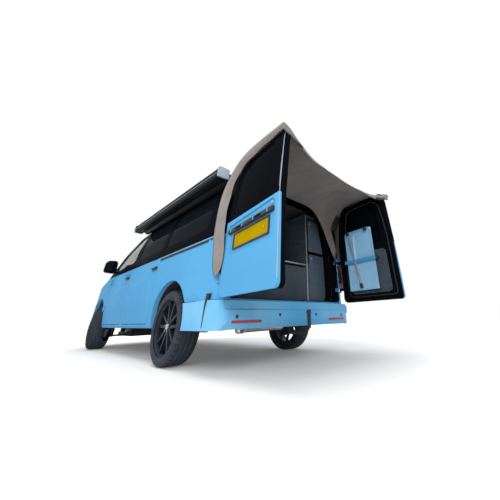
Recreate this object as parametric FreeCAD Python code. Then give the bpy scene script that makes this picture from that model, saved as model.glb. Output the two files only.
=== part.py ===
import FreeCAD, Part
import math
import os

Vec = FreeCAD.Vector

# A panel van fitted out as a camper, its twin rear doors open under a fabric canopy.
# +X is the front, +Y the vehicle's left side, +Z up.  Lengths are millimetres.
# While modelling, X is counted from the rear axle and Z from the ground; to_origin() moves X
# to the middle of the whole length.  What is on both sides is made on the left and mirrored.

# Body
wheelbase = 3000.0
front_overhang = 895.0
rear_overhang = 945.0
half_width = 952.0
sill_z = 325.0
belt_z = 1170.0
roof_z = 1935.0
wall = 48.0
seam = 6.0
overrun = 400.0

# Wheels
tyre_radius = 341.0
tyre_width = 240.0
rim_radius = 262.0
rim_wall = 9.0
rim_bulge = 40.0
hub_radius = 62.0
hub_bore = 26.0
wheel_y = 816.0
spoke_pairs = 5
spoke_depth = 34.0
spoke_dish = 26.0
run_gap = 5.0
steer_rest = -24.0
kingpin_y = 640.0
knuckle_radius = 30.0
disc_radius = 165.0
disc_thick = 26.0

# Arches and floor
arch_radius = 438.0
arch_depth = 120.0
house_thick = 6.0
rear_house_y = 655.0
front_house_y = 425.0
floor_z = 512.0
floor_thick = 14.0
rail_y = 385.0
rail_wide = 64.0
rail_deep = 84.0

# Rear doorway
door_bottom_z = 546.0
door_top_z = 1775.0
door_edge_y = 822.0
rear_door_thick = 62.0
rear_hinge_x = -912.0
rear_hinge_y = 905.0
rear_pin = 13.0
rear_seal = 9.0
opening_half = 738.0
opening_low_z = 560.0
opening_high_z = 1738.0
opening_round = 190.0
left_open = 98.0
right_open = 82.0

# Cab and side doors
cab_front_x = 2552.0
cab_back_x = 1590.0
slide_front_x = 1565.0
slide_back_x = 520.0
side_door_low_z = 372.0
side_door_high_z = 1772.0
cab_hinge_y = 966.0
cab_pin = 8.0

# Glass and trim
glass_inset = 5.0
glass_thick = 5.0

# Bumpers, lamps and grille
bumper_out = 48.0
bumper_wall = 26.0
bumper_top_z = 536.0
front_bumper_z = 640.0
bonnet_hinge_x = 3112.0
bonnet_hinge_z = 1160.0
bonnet_reach = 668.0

# Fittings
awning_out_y = 978.0
awning_tall = 118.0
awning_deep = 136.0
awning_low_z = 1782.0
awning_back_x = -690.0
awning_front_x = 1950.0
plate_long = 520.0
plate_high = 111.0
plate_z = 962.0
ball_radius = 25.0
ball_x = -1120.0
ball_z = 437.0
table_thick = 30.0
canopy_thick = 9.0
canopy_clear = 6.0

front_x = wheelbase
nose_x = wheelbase + front_overhang
tail_x = -rear_overhang
body_long = nose_x - tail_x
flat_x = Vec(1, 0, 0)
flat_y = Vec(0, 1, 0)
up = Vec(0, 0, 1)


def turned(shape, degrees, centre, axis=up):
    copy = shape.copy()
    copy.rotate(centre, axis, degrees)
    return copy


def moved(shape, x=0.0, y=0.0, z=0.0):
    copy = shape.copy()
    copy.translate(Vec(x, y, z))
    return copy


def mirror(shape):
    """The same shape on the other side of the vehicle."""
    return shape.mirror(Vec(0, 0, 0), flat_y)


def block(x0, x1, y0, y1, z0, z1):
    return Part.makeBox(x1 - x0, y1 - y0, z1 - z0, Vec(x0, y0, z0))


def tube(start, end, radius, bore=0.0):
    """A round bar, or a pipe, from start to end."""
    along = end - start
    bar = Part.makeCylinder(radius, along.Length, start, along)
    if bore:
        bar = bar.cut(Part.makeCylinder(bore, along.Length, start, along))
    return bar


def fuse(shapes):
    """One shape from pieces that overlap or share faces."""
    whole = shapes[0]
    if len(shapes) > 1:
        whole = whole.multiFuse(shapes[1:])
    return whole.removeSplitter()


def group(shapes):
    """Separate solids kept in one node."""
    solids = []
    for shape in shapes:
        solids.extend(shape.Solids)
    return solids[0] if len(solids) == 1 else Part.makeCompound(solids)


def biggest(shape):
    """The main solid, without slivers a cut leaves beside it."""
    return max(shape.Solids, key=lambda solid: solid.Volume)


def spread(shares, u0, u1, v0, v1, round_size):
    """Outline points from shares of a frame u0..u1 by v0..v1; corner radii are shares of round_size."""
    return [(u0 + a * (u1 - u0), v0 + b * (v1 - v0), c * round_size) for a, b, c in shares]


def both_sides(half):
    """A closed outline from its left half, given from bottom to top."""
    return half + [(-u, v, r) for u, v, r in reversed(half) if u]


def rounded_wire(points, place):
    """A closed outline through (u, v, corner radius) points; place turns u, v into a point in space."""
    count = len(points)
    corners = []
    for i, (u, v, radius) in enumerate(points):
        here = Vec(u, v, 0)
        before = Vec(points[i - 1][0], points[i - 1][1], 0) - here
        after = Vec(points[(i + 1) % count][0], points[(i + 1) % count][1], 0) - here
        inner = before.getAngle(after)
        if radius <= 0 or inner > math.pi - 1e-4:
            corners.append((here, here, here))
            continue
        reach = radius / math.tan(inner / 2)
        first = here + before.normalize() * reach
        last = here + after.normalize() * reach
        inward = (before + after).normalize()
        corners.append((first, here + inward * (radius / math.sin(inner / 2) - radius), last))
    edges = []
    for i, (first, middle, last) in enumerate(corners):
        if (first - last).Length > 1e-6:
            edges.append(Part.Arc(*[place(p.x, p.y) for p in (first, middle, last)]).toShape())
        following = corners[(i + 1) % count][0]
        if (following - last).Length > 1e-6:
            edges.append(Part.makeLine(place(last.x, last.y), place(following.x, following.y)))
    return Part.Wire(edges)


def from_side(y):
    return lambda x, z: Vec(x, y, z)


def from_front(x):
    return lambda y, z: Vec(x, y, z)


def from_above(z):
    return lambda x, y: Vec(x, y, z)


def prism(points, place, along, inset=0.0):
    """An outline, drawn in by inset, pushed along a vector."""
    face = Part.Face(rounded_wire(points, place))
    if inset:
        face = face.makeOffset2D(-inset)
    return face.extrude(along)


# Body outlines, as shares of its length, half width and heights
section_shares = [
    (0.958, 0.012, 0.06),
    (0.996, 0.171, 0.32),
    (1.0, 0.314, 0.52),
    (0.984, 0.512, 0.42),
    (0.938, 0.692, 0.52),
    (0.842, 0.857, 0.27),
    (0.712, 0.967, 0.2),
    (0.0, 1.0, 4.0),
]
sill_in_share = 0.94
plan_shares = [
    (0.0, 0.972, 0.14),
    (0.08, 1.0, 0.95),
    (0.71, 1.001, 3.0),
    (0.895, 0.986, 0.9),
    (0.967, 0.845, 0.5),
    (0.9925, 0.5, 0.46),
    (1.0, 0.0, 1.6),
]
lower_shares = [
    (0.0, 0.65, 0.75),
    (0.0017, 1.017, 0.0),
    (0.83, 1.017, 0.0),
    (0.846, 0.972, 0.06),
    (0.932, 0.878, 0.5),
    (0.981, 0.765, 0.13),
    (0.997, 0.6, 0.2),
    (1.0, 0.43, 0.17),
]
upper_shares = [
    (0.0015, 0.57, 0.0),
    (0.0015, 0.605, 0.26),
    (0.0093, 0.878, 0.26),
    (0.0238, 0.986, 0.062),
    (0.32, 1.0065, 2.0),
    (0.557, 0.993, 0.5),
    (0.624, 0.951, 0.075),
    (0.842, 0.594, 0.0),
    (0.838, 0.57, 0.0),
]
shoulder_shares = [
    (1.3, -2.0, 0.0),
    (1.3, 0.872, 0.0),
    (0.975, 0.885, 0.17),
    (0.83, 0.958, 0.22),
    (0.588, 0.99, 0.32),
    (0.0, 1.002, 0.0),
]
shoulder_fall_share = 0.3
screen_bow_share = 3.1
screen_drop_share = 0.006


def x_at(share):
    return tail_x + share * body_long


def screen_line():
    """Top and foot of the windscreen on the centre line, and the directions along and out of it."""
    top = Vec(x_at(upper_shares[6][0]), 0, upper_shares[6][1] * roof_z)
    foot = Vec(x_at(upper_shares[7][0]), 0, upper_shares[7][1] * roof_z)
    along = (foot - top).normalize()
    return top, foot, along, Vec(-along.z, 0, along.x)


def body_form(inset):
    """The closed outer form of the body, drawn in by inset everywhere but at the open bottom."""
    low = sill_z - overrun if inset else sill_z
    edge = half_width + overrun
    section_half = [(sill_in_share * half_width, low, 0.0)]
    section_half += spread(section_shares, 0, half_width, sill_z, roof_z, half_width)
    section = prism(both_sides(section_half), from_front(tail_x - overrun),
                    flat_x * (body_long + 2 * overrun), inset)
    plan_half = spread(plan_shares, tail_x, nose_x, 0, half_width, half_width)
    plan = prism(both_sides_plan(plan_half), from_above(low), up * (roof_z + 2 * overrun), inset)
    lower_points = [(x_at(0.0017), low, 0.0)]
    lower_points += spread(lower_shares, tail_x, nose_x, 0, belt_z, belt_z)
    lower_points += [(x_at(0.996), low, 0.0)]
    lower = prism(lower_points, from_side(-edge), flat_y * 2 * edge, inset)
    upper = prism(spread(upper_shares, tail_x, nose_x, 0, roof_z, roof_z), from_side(-edge),
                  flat_y * 2 * edge, inset)
    top, foot, along, outward = screen_line()
    bow = screen_bow_share * half_width
    drop = screen_drop_share * half_width
    bow_start = top - outward * (bow + drop) - along * body_long
    upper = upper.common(Part.makeCylinder(bow - inset, 2 * body_long, bow_start, along))
    fall = Vec(1, 0, -shoulder_fall_share)
    shoulder_start = foot - fall * body_long
    shoulder = spread(shoulder_shares, 0, half_width, 0, belt_z, half_width)
    rise = shoulder_start.z - foot.z
    shoulder = [(y, z + rise, r) for y, z, r in shoulder]
    lower = lower.common(prism(both_sides(shoulder), from_front(shoulder_start.x), fall * 2 * body_long, inset))
    joined = lower.fuse(upper)
    if inset:
        joined = joined.fuse(block(tail_x + 2 * inset, foot.x - 3 * inset, -edge, edge,
                                   belt_z - 3 * inset, belt_z))
    return biggest(joined.common(section).common(plan))


def both_sides_plan(half):
    """The same for a plan outline, whose left half runs from tail to nose."""
    return half + [(u, -v, r) for u, v, r in reversed(half) if v]


# Openings in the body's sides, as shares of the door they belong to
side_door_shares = [
    (0.0, 0.06, 0.05),
    (0.05, 0.0, 0.05),
    (0.95, 0.0, 0.05),
    (1.0, 0.06, 0.05),
    (1.0, 0.965, 0.05),
    (0.96, 1.0, 0.04),
    (0.04, 1.0, 0.04),
    (0.0, 0.965, 0.05),
]
cab_door_shares = [
    (0.0, 0.06, 0.05),
    (0.05, 0.0, 0.05),
    (0.93, 0.0, 0.06),
    (1.0, 0.1, 0.12),
    (1.0, 0.655, 0.03),
    (0.34, 0.97, 0.08),
    (0.28, 1.0, 0.06),
    (0.04, 1.0, 0.05),
    (0.0, 0.965, 0.05),
]
cab_window_shares = [
    (0.07, 0.61, 0.04),
    (0.93, 0.585, 0.014),
    (0.93, 0.632, 0.012),
    (0.32, 0.905, 0.05),
    (0.09, 0.925, 0.05),
]
quarter_window_shares = [
    (1.035, 0.585, 0.015),
    (1.22, 0.578, 0.012),
    (1.035, 0.654, 0.012),
]
slide_window_shares = [
    (0.06, 0.605, 0.05),
    (0.94, 0.605, 0.05),
    (0.94, 0.93, 0.06),
    (0.06, 0.93, 0.06),
]
rear_window_shares = [
    (-0.06, 0.605, 0.05),
    (-0.06, 0.925, 0.07),
    (-1.02, 0.915, 0.07),
    (-1.06, 0.605, 0.06),
]


def through_side(shares, x0, x1, grow=0.0):
    """A prism through the left side of the body, from an outline in shares of a door."""
    high = side_door_high_z - side_door_low_z
    points = spread(shares, x0, x1, side_door_low_z, side_door_high_z, high)
    return prism(points, from_side(half_width / 3), flat_y * half_width, -grow)


def cab_outline(grow=0.0):
    return through_side(cab_door_shares, cab_back_x, cab_front_x, grow)


def slide_outline(grow=0.0):
    return through_side(side_door_shares, slide_back_x, slide_front_x, grow)


# Rear doors, modelled shut
rear_door_shares = [
    (0.0, 0.0, 0.05),
    (1.0, 0.0, 0.07),
    (1.0, 0.6, 0.6),
    (0.93, 0.82, 0.35),
    (0.83, 1.0, 0.2),
    (0.0, 1.0, 0.03),
]
rear_glass_shares = [
    (0.16, 0.535, 0.1),
    (0.9, 0.535, 0.1),
    (0.86, 0.78, 0.5),
    (0.78, 0.955, 0.14),
    (0.16, 0.955, 0.1),
]
door_panel_shares = [
    (0.17, 0.075, 0.1),
    (0.86, 0.075, 0.12),
    (0.86, 0.44, 0.1),
    (0.17, 0.44, 0.1),
]


def through_tail(points, grow=0.0, far=0.0):
    """A prism through the tail along X, reaching far in front of the rearmost face."""
    start = tail_x - overrun
    return prism(points, from_front(start), flat_x * (overrun + far), -grow)


def rear_door_points():
    return spread(rear_door_shares, seam / 2, door_edge_y, door_bottom_z, door_top_z, door_edge_y)


def doorway_points():
    """The clear opening, its big upper corners following the tail."""
    half = [
        (0.0, opening_low_z, 0.0),
        (opening_half, opening_low_z, opening_round / 2),
        (opening_half, (opening_low_z + opening_high_z) / 2, opening_half),
        (opening_half * 0.87, opening_high_z - opening_round / 2, opening_round),
        (opening_half * 0.7, opening_high_z, opening_round / 2),
        (0.0, opening_high_z, 0.0),
    ]
    return half + [(-u, v, r) for u, v, r in reversed(half) if u]


def doors_recess(outer):
    """What the two shut doors and their running gap take out of the tail."""
    shutline = both_sides([(0.0, door_bottom_z, 0.0)] + rear_door_points()[1:-1]
                          + [(0.0, door_top_z, 0.0)])
    deep = rear_door_thick + rear_seal
    return through_tail(shutline, seam, deep + overrun).cut(moved(outer, x=deep))


def portal(outer):
    """The frame round the rear doorway, with the corner posts."""
    frame = outer.common(block(tail_x - overrun, tail_x + arch_depth + wall, -half_width, half_width,
                               floor_z - floor_thick, roof_z + overrun))
    return frame.cut(through_tail(doorway_points(), 0.0, arch_depth + overrun))


def hinge_swing(side, degrees):
    """Open degrees for a door on side +1 (left) or -1 (right), as a turn about +Z."""
    return -side * degrees


def open_rear(shape, side):
    centre = Vec(rear_hinge_x, side * rear_hinge_y, 0)
    return turned(shape, hinge_swing(side, left_open if side > 0 else right_open), centre)


def arch_cut(x):
    """The wheel opening through the left side."""
    return tube(Vec(x, half_width - arch_depth, tyre_radius), Vec(x, half_width + overrun, tyre_radius),
                arch_radius)


# Hinges
rear_low_hinge_z = 708.0
rear_high_hinge_z = 1056.0
rear_hinge_tall = 44.0
cab_low_hinge_z = 600.0
cab_high_hinge_z = 1010.0
cab_hinge_tall = 40.0
pin_gap = 0.5
lug_gap = 0.6


def rear_hinge_zs():
    return (rear_low_hinge_z, rear_high_hinge_z)


def cab_hinge_zs():
    return (cab_low_hinge_z, cab_high_hinge_z)


def on_side(shape, side):
    return shape if side > 0 else mirror(shape)


def upright(x, y, z0, z1, radius, bore=0.0):
    return tube(Vec(x, y, z0), Vec(x, y, z1), radius, bore)


def rear_hinge_pocket(side, z):
    """The slot in the corner post that the shut door's hinge arm lies in."""
    half = rear_hinge_tall / 2 + lug_gap
    pocket = block(rear_hinge_x - overrun, rear_hinge_x + 2 * rear_pin, door_edge_y - seam,
                   rear_hinge_y + overrun, z - half, z + half)
    return on_side(pocket, side)


def rear_hinge_arm(side, z):
    """Barrel and arm of one rear hinge, door side, with the door shut."""
    half = rear_hinge_tall / 2
    barrel = upright(rear_hinge_x, rear_hinge_y, z - half, z + half, rear_pin)
    arm = block(rear_hinge_x - rear_pin, rear_hinge_x + rear_pin / 2, door_edge_y - rear_pin,
                rear_hinge_y, z - half * 0.7, z + half * 0.7)
    bore = upright(rear_hinge_x, rear_hinge_y, z - half, z + half, rear_pin / 2 + pin_gap)
    return on_side(barrel.fuse(arm).cut(bore), side)


def rear_hinge_lugs(side, z):
    """Two lugs and the pin of one rear hinge, on the corner post."""
    half = rear_hinge_tall / 2 + lug_gap
    pieces = [upright(rear_hinge_x, rear_hinge_y, z - half, z + half, rear_pin / 2)]
    for low, high in ((z + half, z + half + rear_pin), (z - half - rear_pin, z - half)):
        pieces.append(upright(rear_hinge_x, rear_hinge_y, low, high, rear_pin))
        pieces.append(block(rear_hinge_x, rear_hinge_x + 4 * rear_pin, rear_hinge_y - rear_pin,
                            rear_hinge_y + rear_pin, low, high))
    return on_side(fuse(pieces), side)


def cab_hinge_x():
    return cab_front_x + seam / 2


def cab_hinge_knuckle(side, z):
    """Door half of a front door hinge: barrel and the leaf on the door's edge."""
    half = cab_hinge_tall / 2
    x = cab_hinge_x()
    barrel = upright(x, cab_hinge_y, z - half, z + half, cab_pin)
    leaf = block(x - 5 * cab_pin, x, cab_hinge_y - 4 * cab_pin, cab_hinge_y, z - half, z + half)
    leaf = leaf.cut(block(cab_front_x, x, cab_hinge_y - 5 * cab_pin, cab_hinge_y - cab_pin,
                          z - half, z + half))
    bore = upright(x, cab_hinge_y, z - half, z + half, cab_pin / 2 + pin_gap)
    return on_side(barrel.fuse(leaf).cut(bore), side)


def cab_hinge_lugs(side, z):
    """Body half of a front door hinge: two lugs and the pin."""
    half = cab_hinge_tall / 2 + lug_gap
    x = cab_hinge_x()
    pieces = [upright(x, cab_hinge_y, z - half, z + half, cab_pin / 2)]
    for low, high in ((z + half, z + half + 2 * cab_pin), (z - half - 2 * cab_pin, z - half)):
        pieces.append(upright(x, cab_hinge_y, low, high, cab_pin))
        pieces.append(block(x, x + 5 * cab_pin, cab_hinge_y - 4 * cab_pin, cab_hinge_y, low, high)
                      .cut(block(x, cab_front_x + seam, cab_hinge_y - 5 * cab_pin,
                                 cab_hinge_y - cab_pin, low, high)))
    return on_side(fuse(pieces), side)


def doors_swept(side):
    """Room the shut rear door takes beside its lugs."""
    return on_side(block(tail_x - overrun, tail_x + arch_depth, 0, door_edge_y + seam,
                         door_bottom_z, door_top_z), side)


def body_shell(outer, full_wall):
    """The welded body: sides, roof, tail frame and nose, with every opening cut."""
    shell = full_wall.fuse(portal(outer))
    shell = shell.cut(doors_recess(outer)).cut(through_tail(doorway_points(), 0.0, arch_depth + overrun))
    tools = []
    for x in (0.0, front_x):
        tools += [arch_cut(x), mirror(arch_cut(x))]
    tools += [cab_outline(seam), mirror(cab_outline(seam)), slide_outline(seam)]
    tools += [side_window("quarter"), mirror(side_window("quarter")), side_window("rear")]
    tools += [mirror(side_window("rear")), mirror(side_window("slide"))]
    tools += [windscreen_prism(), bonnet_zone(seam), front_bumper_zone(seam), rear_bumper_zone(seam)]
    for lamp in (headlamp_zone(), tail_lamp_zone()):
        tools += [lamp, mirror(lamp)]
    tools += [grille_zone(), slide_rail_groove()]
    for side in (1, -1):
        tools += [rear_hinge_pocket(side, z) for z in rear_hinge_zs()]
        tools.append(on_side(bonnet_barrel(-0.1, 0.5, cab_pin + seam), side))
        tools.append(on_side(block(bonnet_hinge_x - seam / 2, bonnet_hinge_x + rail_wide + seam,
                                   bonnet_hinge_y() - seam, bonnet_hinge_y() + rail_wide / 2 + lug_gap,
                                   bonnet_hinge_z - wall - seam, bonnet_hinge_z), side))
    for tool in tools:
        shell = shell.cut(tool)
    shell = biggest(shell)
    lugs = [rear_hinge_lugs(side, z).cut(doors_swept(side)) for side in (1, -1) for z in rear_hinge_zs()]
    lugs += [cab_hinge_lugs(side, z) for side in (1, -1) for z in cab_hinge_zs()]
    lugs += [bonnet_lug(side) for side in (1, -1)]
    return biggest(shell.multiFuse(lugs))


def side_window(name):
    if name == "quarter":
        return through_side(quarter_window_shares, cab_back_x, cab_front_x)
    if name == "rear":
        return through_side(rear_window_shares, slide_back_x, slide_front_x)
    if name == "slide":
        return through_side(slide_window_shares, slide_back_x, slide_front_x)
    return through_side(cab_window_shares, cab_back_x, cab_front_x)


screen_half_shares = [(0.72, 0.045), (0.8, 0.9)]


def windscreen_prism():
    """The windscreen opening, cut square to the glass."""
    top, foot, along, outward = screen_line()
    slope = (foot - top).Length
    top_half = screen_half_shares[0][0] * half_width
    foot_half = screen_half_shares[1][0] * half_width
    start = screen_half_shares[0][1] * slope
    end = screen_half_shares[1][1] * slope
    round_size = slope / 12
    points = [(start, -top_half, round_size), (end, -foot_half, round_size),
              (end, foot_half, round_size), (start, top_half, round_size)]
    deep = arch_depth * 2
    base = top - outward * deep * 1.5

    def place(u, v):
        return base + along * u + flat_y * v

    return prism(points, place, outward * deep * 2.5)


bonnet_shares = [(0.0, 0.74), (1.0, 0.62)]


def bonnet_zone(grow=0.0):
    """From the windscreen foot to the grille, inside the wings; its front edge curves round the hinge line."""
    reach = bonnet_reach + grow
    round_size = wall
    points = [(bonnet_hinge_x + seam - grow, bonnet_shares[0][1] * half_width + grow, round_size),
              (bonnet_hinge_x + reach + wall, bonnet_shares[1][1] * half_width + grow, 0.0),
              (bonnet_hinge_x + reach + wall, -bonnet_shares[1][1] * half_width - grow, 0.0),
              (bonnet_hinge_x + seam - grow, -bonnet_shares[0][1] * half_width - grow, round_size)]
    panel = prism(points, from_above(front_bumper_z), up * overrun * 2)
    swing = tube(Vec(bonnet_hinge_x, -half_width, bonnet_hinge_z),
                 Vec(bonnet_hinge_x, half_width, bonnet_hinge_z), reach)
    return panel.common(swing)


def front_bumper_zone(grow=0.0):
    start = front_x + arch_radius * 0.72 - grow
    return block(start, nose_x + overrun, -half_width - overrun, half_width + overrun,
                 sill_z - overrun, front_bumper_z + grow)


def rear_bumper_zone(grow=0.0):
    return block(tail_x - overrun, tail_x + rear_overhang * 0.6, -half_width - overrun,
                 half_width + overrun, sill_z - overrun, bumper_top_z + grow)


headlamp_shares = [
    (0.58, 0.605, 0.02),
    (0.9, 0.61, 0.05),
    (0.965, 0.7, 0.05),
    (0.955, 0.77, 0.02),
    (0.62, 0.735, 0.03),
]


def headlamp_zone():
    """The left headlamp, seen from the front."""
    points = spread(headlamp_shares, 0, half_width, 0, belt_z, half_width)
    return prism(points, from_front(front_x + arch_radius), flat_x * overrun * 2)


grille_half_share = 0.545


def grille_zone():
    half = grille_half_share * half_width
    points = both_sides([(half, front_bumper_z + wall / 2, wall / 3),
                         (half * 0.97, front_bumper_z + arch_depth * 1.3, wall / 3)])
    return prism(points, from_front(front_x + arch_radius), flat_x * overrun * 2)


tail_lamp_shares = [
    (0.875, 0.645, 0.01),
    (1.05, 0.645, 0.0),
    (1.05, 0.87, 0.0),
    (0.872, 0.87, 0.01),
]


def tail_lamp_zone():
    points = spread(tail_lamp_shares, 0, half_width, 0, belt_z, half_width)
    return prism(points, from_front(tail_x - overrun), flat_x * (overrun + arch_depth))


def slide_rail_groove():
    """The runner of the sliding door, let into the quarter panel."""
    z = belt_z - arch_depth
    return block(tail_x * 0.72, slide_back_x - seam, half_width - rail_wide / 3, half_width + overrun,
                 z, z + rail_wide / 2)


# Panels and glass
def headlamps(full_wall):
    lamp = biggest(full_wall.common(headlamp_zone()))
    return group([lamp, mirror(lamp)])


def tail_lamps(outer):
    lamp = biggest(outer.common(tail_lamp_zone()))
    return group([lamp, mirror(lamp)])


def windscreen(glass_skin):
    return biggest(glass_skin.common(windscreen_prism()))


def side_glass(glass_skin):
    """Fixed side windows: quarter lights, sliding door and rear quarters on the left, the same on the right."""
    panes = []
    for name in ("quarter", "slide", "rear"):
        pane = biggest(glass_skin.common(side_window(name)))
        panes += [pane, mirror(pane)]
    return group(panes)


def sliding_door(full_wall):
    """The left sliding door with its recessed grip and the roller arm let into the quarter's runner."""
    door = full_wall.common(slide_outline()).cut(side_window("slide"))
    grip_x = slide_back_x + rail_wide * 1.6
    grip = block(grip_x, grip_x + rail_deep * 1.6, half_width - wall / 3, half_width + overrun,
                 belt_z - arch_depth / 2 - rail_wide / 2, belt_z - arch_depth / 2)
    return biggest(door.cut(grip))


mirror_shares = [
    (0.0, 0.0, 0.2),
    (1.0, 0.06, 0.25),
    (0.97, 0.94, 0.3),
    (0.05, 1.0, 0.3),
]
mirror_wide = 178.0
mirror_tall = 214.0
mirror_deep = 92.0
mirror_x = 2436.0


def door_mirror():
    """Housing and foot of the left outside mirror."""
    inner_y = half_width + rail_wide / 4
    low = belt_z - wall / 2
    outline = spread(mirror_shares, inner_y, inner_y + mirror_wide, low, low + mirror_tall, mirror_wide)
    housing = prism(outline, from_front(mirror_x), flat_x * mirror_deep)
    front_edges = [e for e in housing.Edges
                   if all(abs(v.Point.x - mirror_x - mirror_deep) < mirror_deep / 100 for v in e.Vertexes)]
    housing = housing.makeFillet(mirror_deep / 4, front_edges)
    glass = spread(mirror_shares, inner_y + mirror_wide / 12, inner_y + mirror_wide * 11 / 12,
                   low + mirror_wide / 12, low + mirror_tall - mirror_wide / 12, mirror_wide * 0.8)
    housing = housing.cut(prism(glass, from_front(mirror_x), flat_x * mirror_deep / 12))
    foot = block(mirror_x + mirror_deep / 4, mirror_x + mirror_deep * 3 / 4, half_width - wall * 0.7,
                 inner_y + rail_wide / 2, low + rail_wide / 8, low + rail_wide * 0.55)
    return housing.fuse(foot)


def cab_door(full_wall):
    """The left front door, whole thickness, with its window cut, mirror, pull handle and hinge knuckles."""
    door = biggest(full_wall.common(cab_outline()).cut(side_window("cab")))
    handle_x = cab_back_x + rail_deep
    handle_z = belt_z - arch_depth
    handle = tube(Vec(handle_x, half_width + cab_pin, handle_z),
                  Vec(handle_x + 2 * rail_deep, half_width + cab_pin, handle_z), cab_pin)
    posts = [block(x, x + 2 * cab_pin, half_width - wall / 2, half_width + cab_pin,
                   handle_z - cab_pin, handle_z + cab_pin)
             for x in (handle_x, handle_x + 2 * rail_deep - 2 * cab_pin)]
    pieces = [door_mirror(), handle] + posts + [cab_hinge_knuckle(1, z) for z in cab_hinge_zs()]
    return biggest(door.multiFuse(pieces))


def cab_glass(glass_skin):
    return biggest(glass_skin.common(side_window("cab")))


def bonnet(full_wall):
    """The lid over the engine bay, hinged along the foot of the windscreen."""
    lid = biggest(full_wall.common(bonnet_zone()))
    for side in (1, -1):
        lid = lid.cut(on_side(bonnet_barrel(-0.2, 1.2, cab_pin + seam / 2), side))
    return biggest(lid.multiFuse([bonnet_knuckle(side) for side in (1, -1)]))


def bonnet_hinge_y():
    return bonnet_shares[0][1] * half_width - rail_wide


def bonnet_barrel(low_share, high_share, radius, bore=0.0):
    """A stretch of the left bonnet hinge, along its line, in shares of its width."""
    return tube(Vec(bonnet_hinge_x, bonnet_hinge_y() + low_share * rail_wide, bonnet_hinge_z),
                Vec(bonnet_hinge_x, bonnet_hinge_y() + high_share * rail_wide, bonnet_hinge_z), radius, bore)


def bonnet_knuckle(side):
    """The lid's half of one hinge: a barrel over the pin, with its leaf let into the lid."""
    y = bonnet_hinge_y()
    leaf = block(bonnet_hinge_x, bonnet_hinge_x + rail_wide, y, y + rail_wide / 2,
                 bonnet_hinge_z - wall, bonnet_hinge_z)
    barrel = bonnet_barrel(0.0, 0.5, cab_pin)
    return on_side(barrel.fuse(leaf).cut(bonnet_barrel(0.0, 0.5, cab_pin / 2 + pin_gap)), side)


def bonnet_lug(side):
    """The cowl's half of one bonnet hinge: a lug and the pin."""
    y = bonnet_hinge_y() + rail_wide / 2 + lug_gap
    lug = block(bonnet_hinge_x - rail_wide, bonnet_hinge_x, y, y + rail_wide / 3,
                bonnet_hinge_z - wall, bonnet_hinge_z)
    return on_side(fuse([lug, tube(Vec(bonnet_hinge_x, y, bonnet_hinge_z),
                                   Vec(bonnet_hinge_x, y + rail_wide / 3, bonnet_hinge_z), cab_pin),
                         bonnet_barrel(0.0, 0.6, cab_pin / 2)]), side)


def rear_panel(outer, side):
    """A whole rear door, shut: pressed skin, window and inner panel, without what hangs on it."""
    points = [(side * y, z, r) for y, z, r in rear_door_points()]
    slab = outer.cut(moved(outer, x=rear_door_thick)).common(through_tail(points, 0.0, overrun))
    slab = biggest(slab)
    slab = slab.cut(rear_window(side))
    inside = spread(door_panel_shares, 0, side * door_edge_y, door_bottom_z, door_top_z, door_edge_y)
    slab = slab.cut(through_tail(inside, 0.0, overrun).cut(moved(outer, x=rear_door_thick * 0.8).common(
        block(tail_x - overrun, tail_x + overrun, -half_width, half_width, 0, roof_z))
        .fuse(through_tail(inside, 0.0, 0.0))).common(block(tail_x + rear_door_thick * 0.6, 0,
                                                         -half_width, half_width, 0, roof_z)))
    return biggest(slab)


def rear_window(side):
    points = spread(rear_glass_shares, 0, side * door_edge_y, door_bottom_z, door_top_z, door_edge_y)
    return through_tail(points, 0.0, overrun)


plate_recess_shares = [
    (0.06, 0.25, 0.05),
    (0.86, 0.25, 0.05),
    (0.86, 0.4, 0.05),
    (0.94, 0.405, 0.02),
    (0.94, 0.47, 0.04),
    (0.06, 0.49, 0.05),
]
recess_deep = 9.0


def plate_recess(outer):
    """The pressed hollow round the number plate and the lamp bar, on the left door."""
    points = spread(plate_recess_shares, 0, door_edge_y, door_bottom_z, door_top_z, door_edge_y)
    return through_tail(points, 0.0, overrun).cut(moved(outer, x=recess_deep))


def rear_door(outer, side):
    """A rear door in its open place, with its two hinge arms."""
    door = rear_panel(outer, side)
    if side > 0:
        door = door.cut(plate_recess(outer))
    door = door.multiFuse([rear_hinge_arm(side, z) for z in rear_hinge_zs()])
    return open_rear(biggest(door), side)


def rear_glass(glass_skin, side):
    return open_rear(biggest(glass_skin.common(rear_window(side))), side)


def number_plate(outer):
    """The plate on the floor of its recess."""
    middle = rear_hinge_y - plate_long
    half = plate_long / 2
    points = [(middle - half, plate_z - plate_high / 2, recess_deep),
              (middle + half, plate_z - plate_high / 2, recess_deep),
              (middle + half, plate_z + plate_high / 2, recess_deep),
              (middle - half, plate_z + plate_high / 2, recess_deep)]
    sheet = moved(outer, x=recess_deep * 0.6).cut(moved(outer, x=recess_deep))
    return open_rear(biggest(sheet.common(through_tail(points, 0.0, overrun))), 1)


# Bumpers and grille
def grille(glass_form, inner):
    """Frame and slats between the headlamps, following the nose."""
    zone = grille_zone()
    depth = glass_form.cut(inner).common(zone)
    low = front_bumper_z + wall / 2
    tall = arch_depth * 1.3 - wall / 2
    pitch = tall / 4
    bar = pitch / 3
    keep = []
    for i in range(5):
        z = low + i * pitch
        keep.append(block(front_x, nose_x + overrun, -half_width, half_width, z - bar / 2, z + bar / 2))
    edge = grille_half_share * half_width
    for y in (-edge, edge - bar * 2):
        keep.append(block(front_x, nose_x + overrun, y, y + bar * 2, low, low + tall))
    keep.append(block(front_x, nose_x + overrun, -bar, bar, low, low + tall))
    return biggest(depth.common(keep[0].multiFuse(keep[1:])))


intake_shares = [
    (0.5, 0.2, 0.02),
    (0.46, 0.56, 0.02),
]


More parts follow.
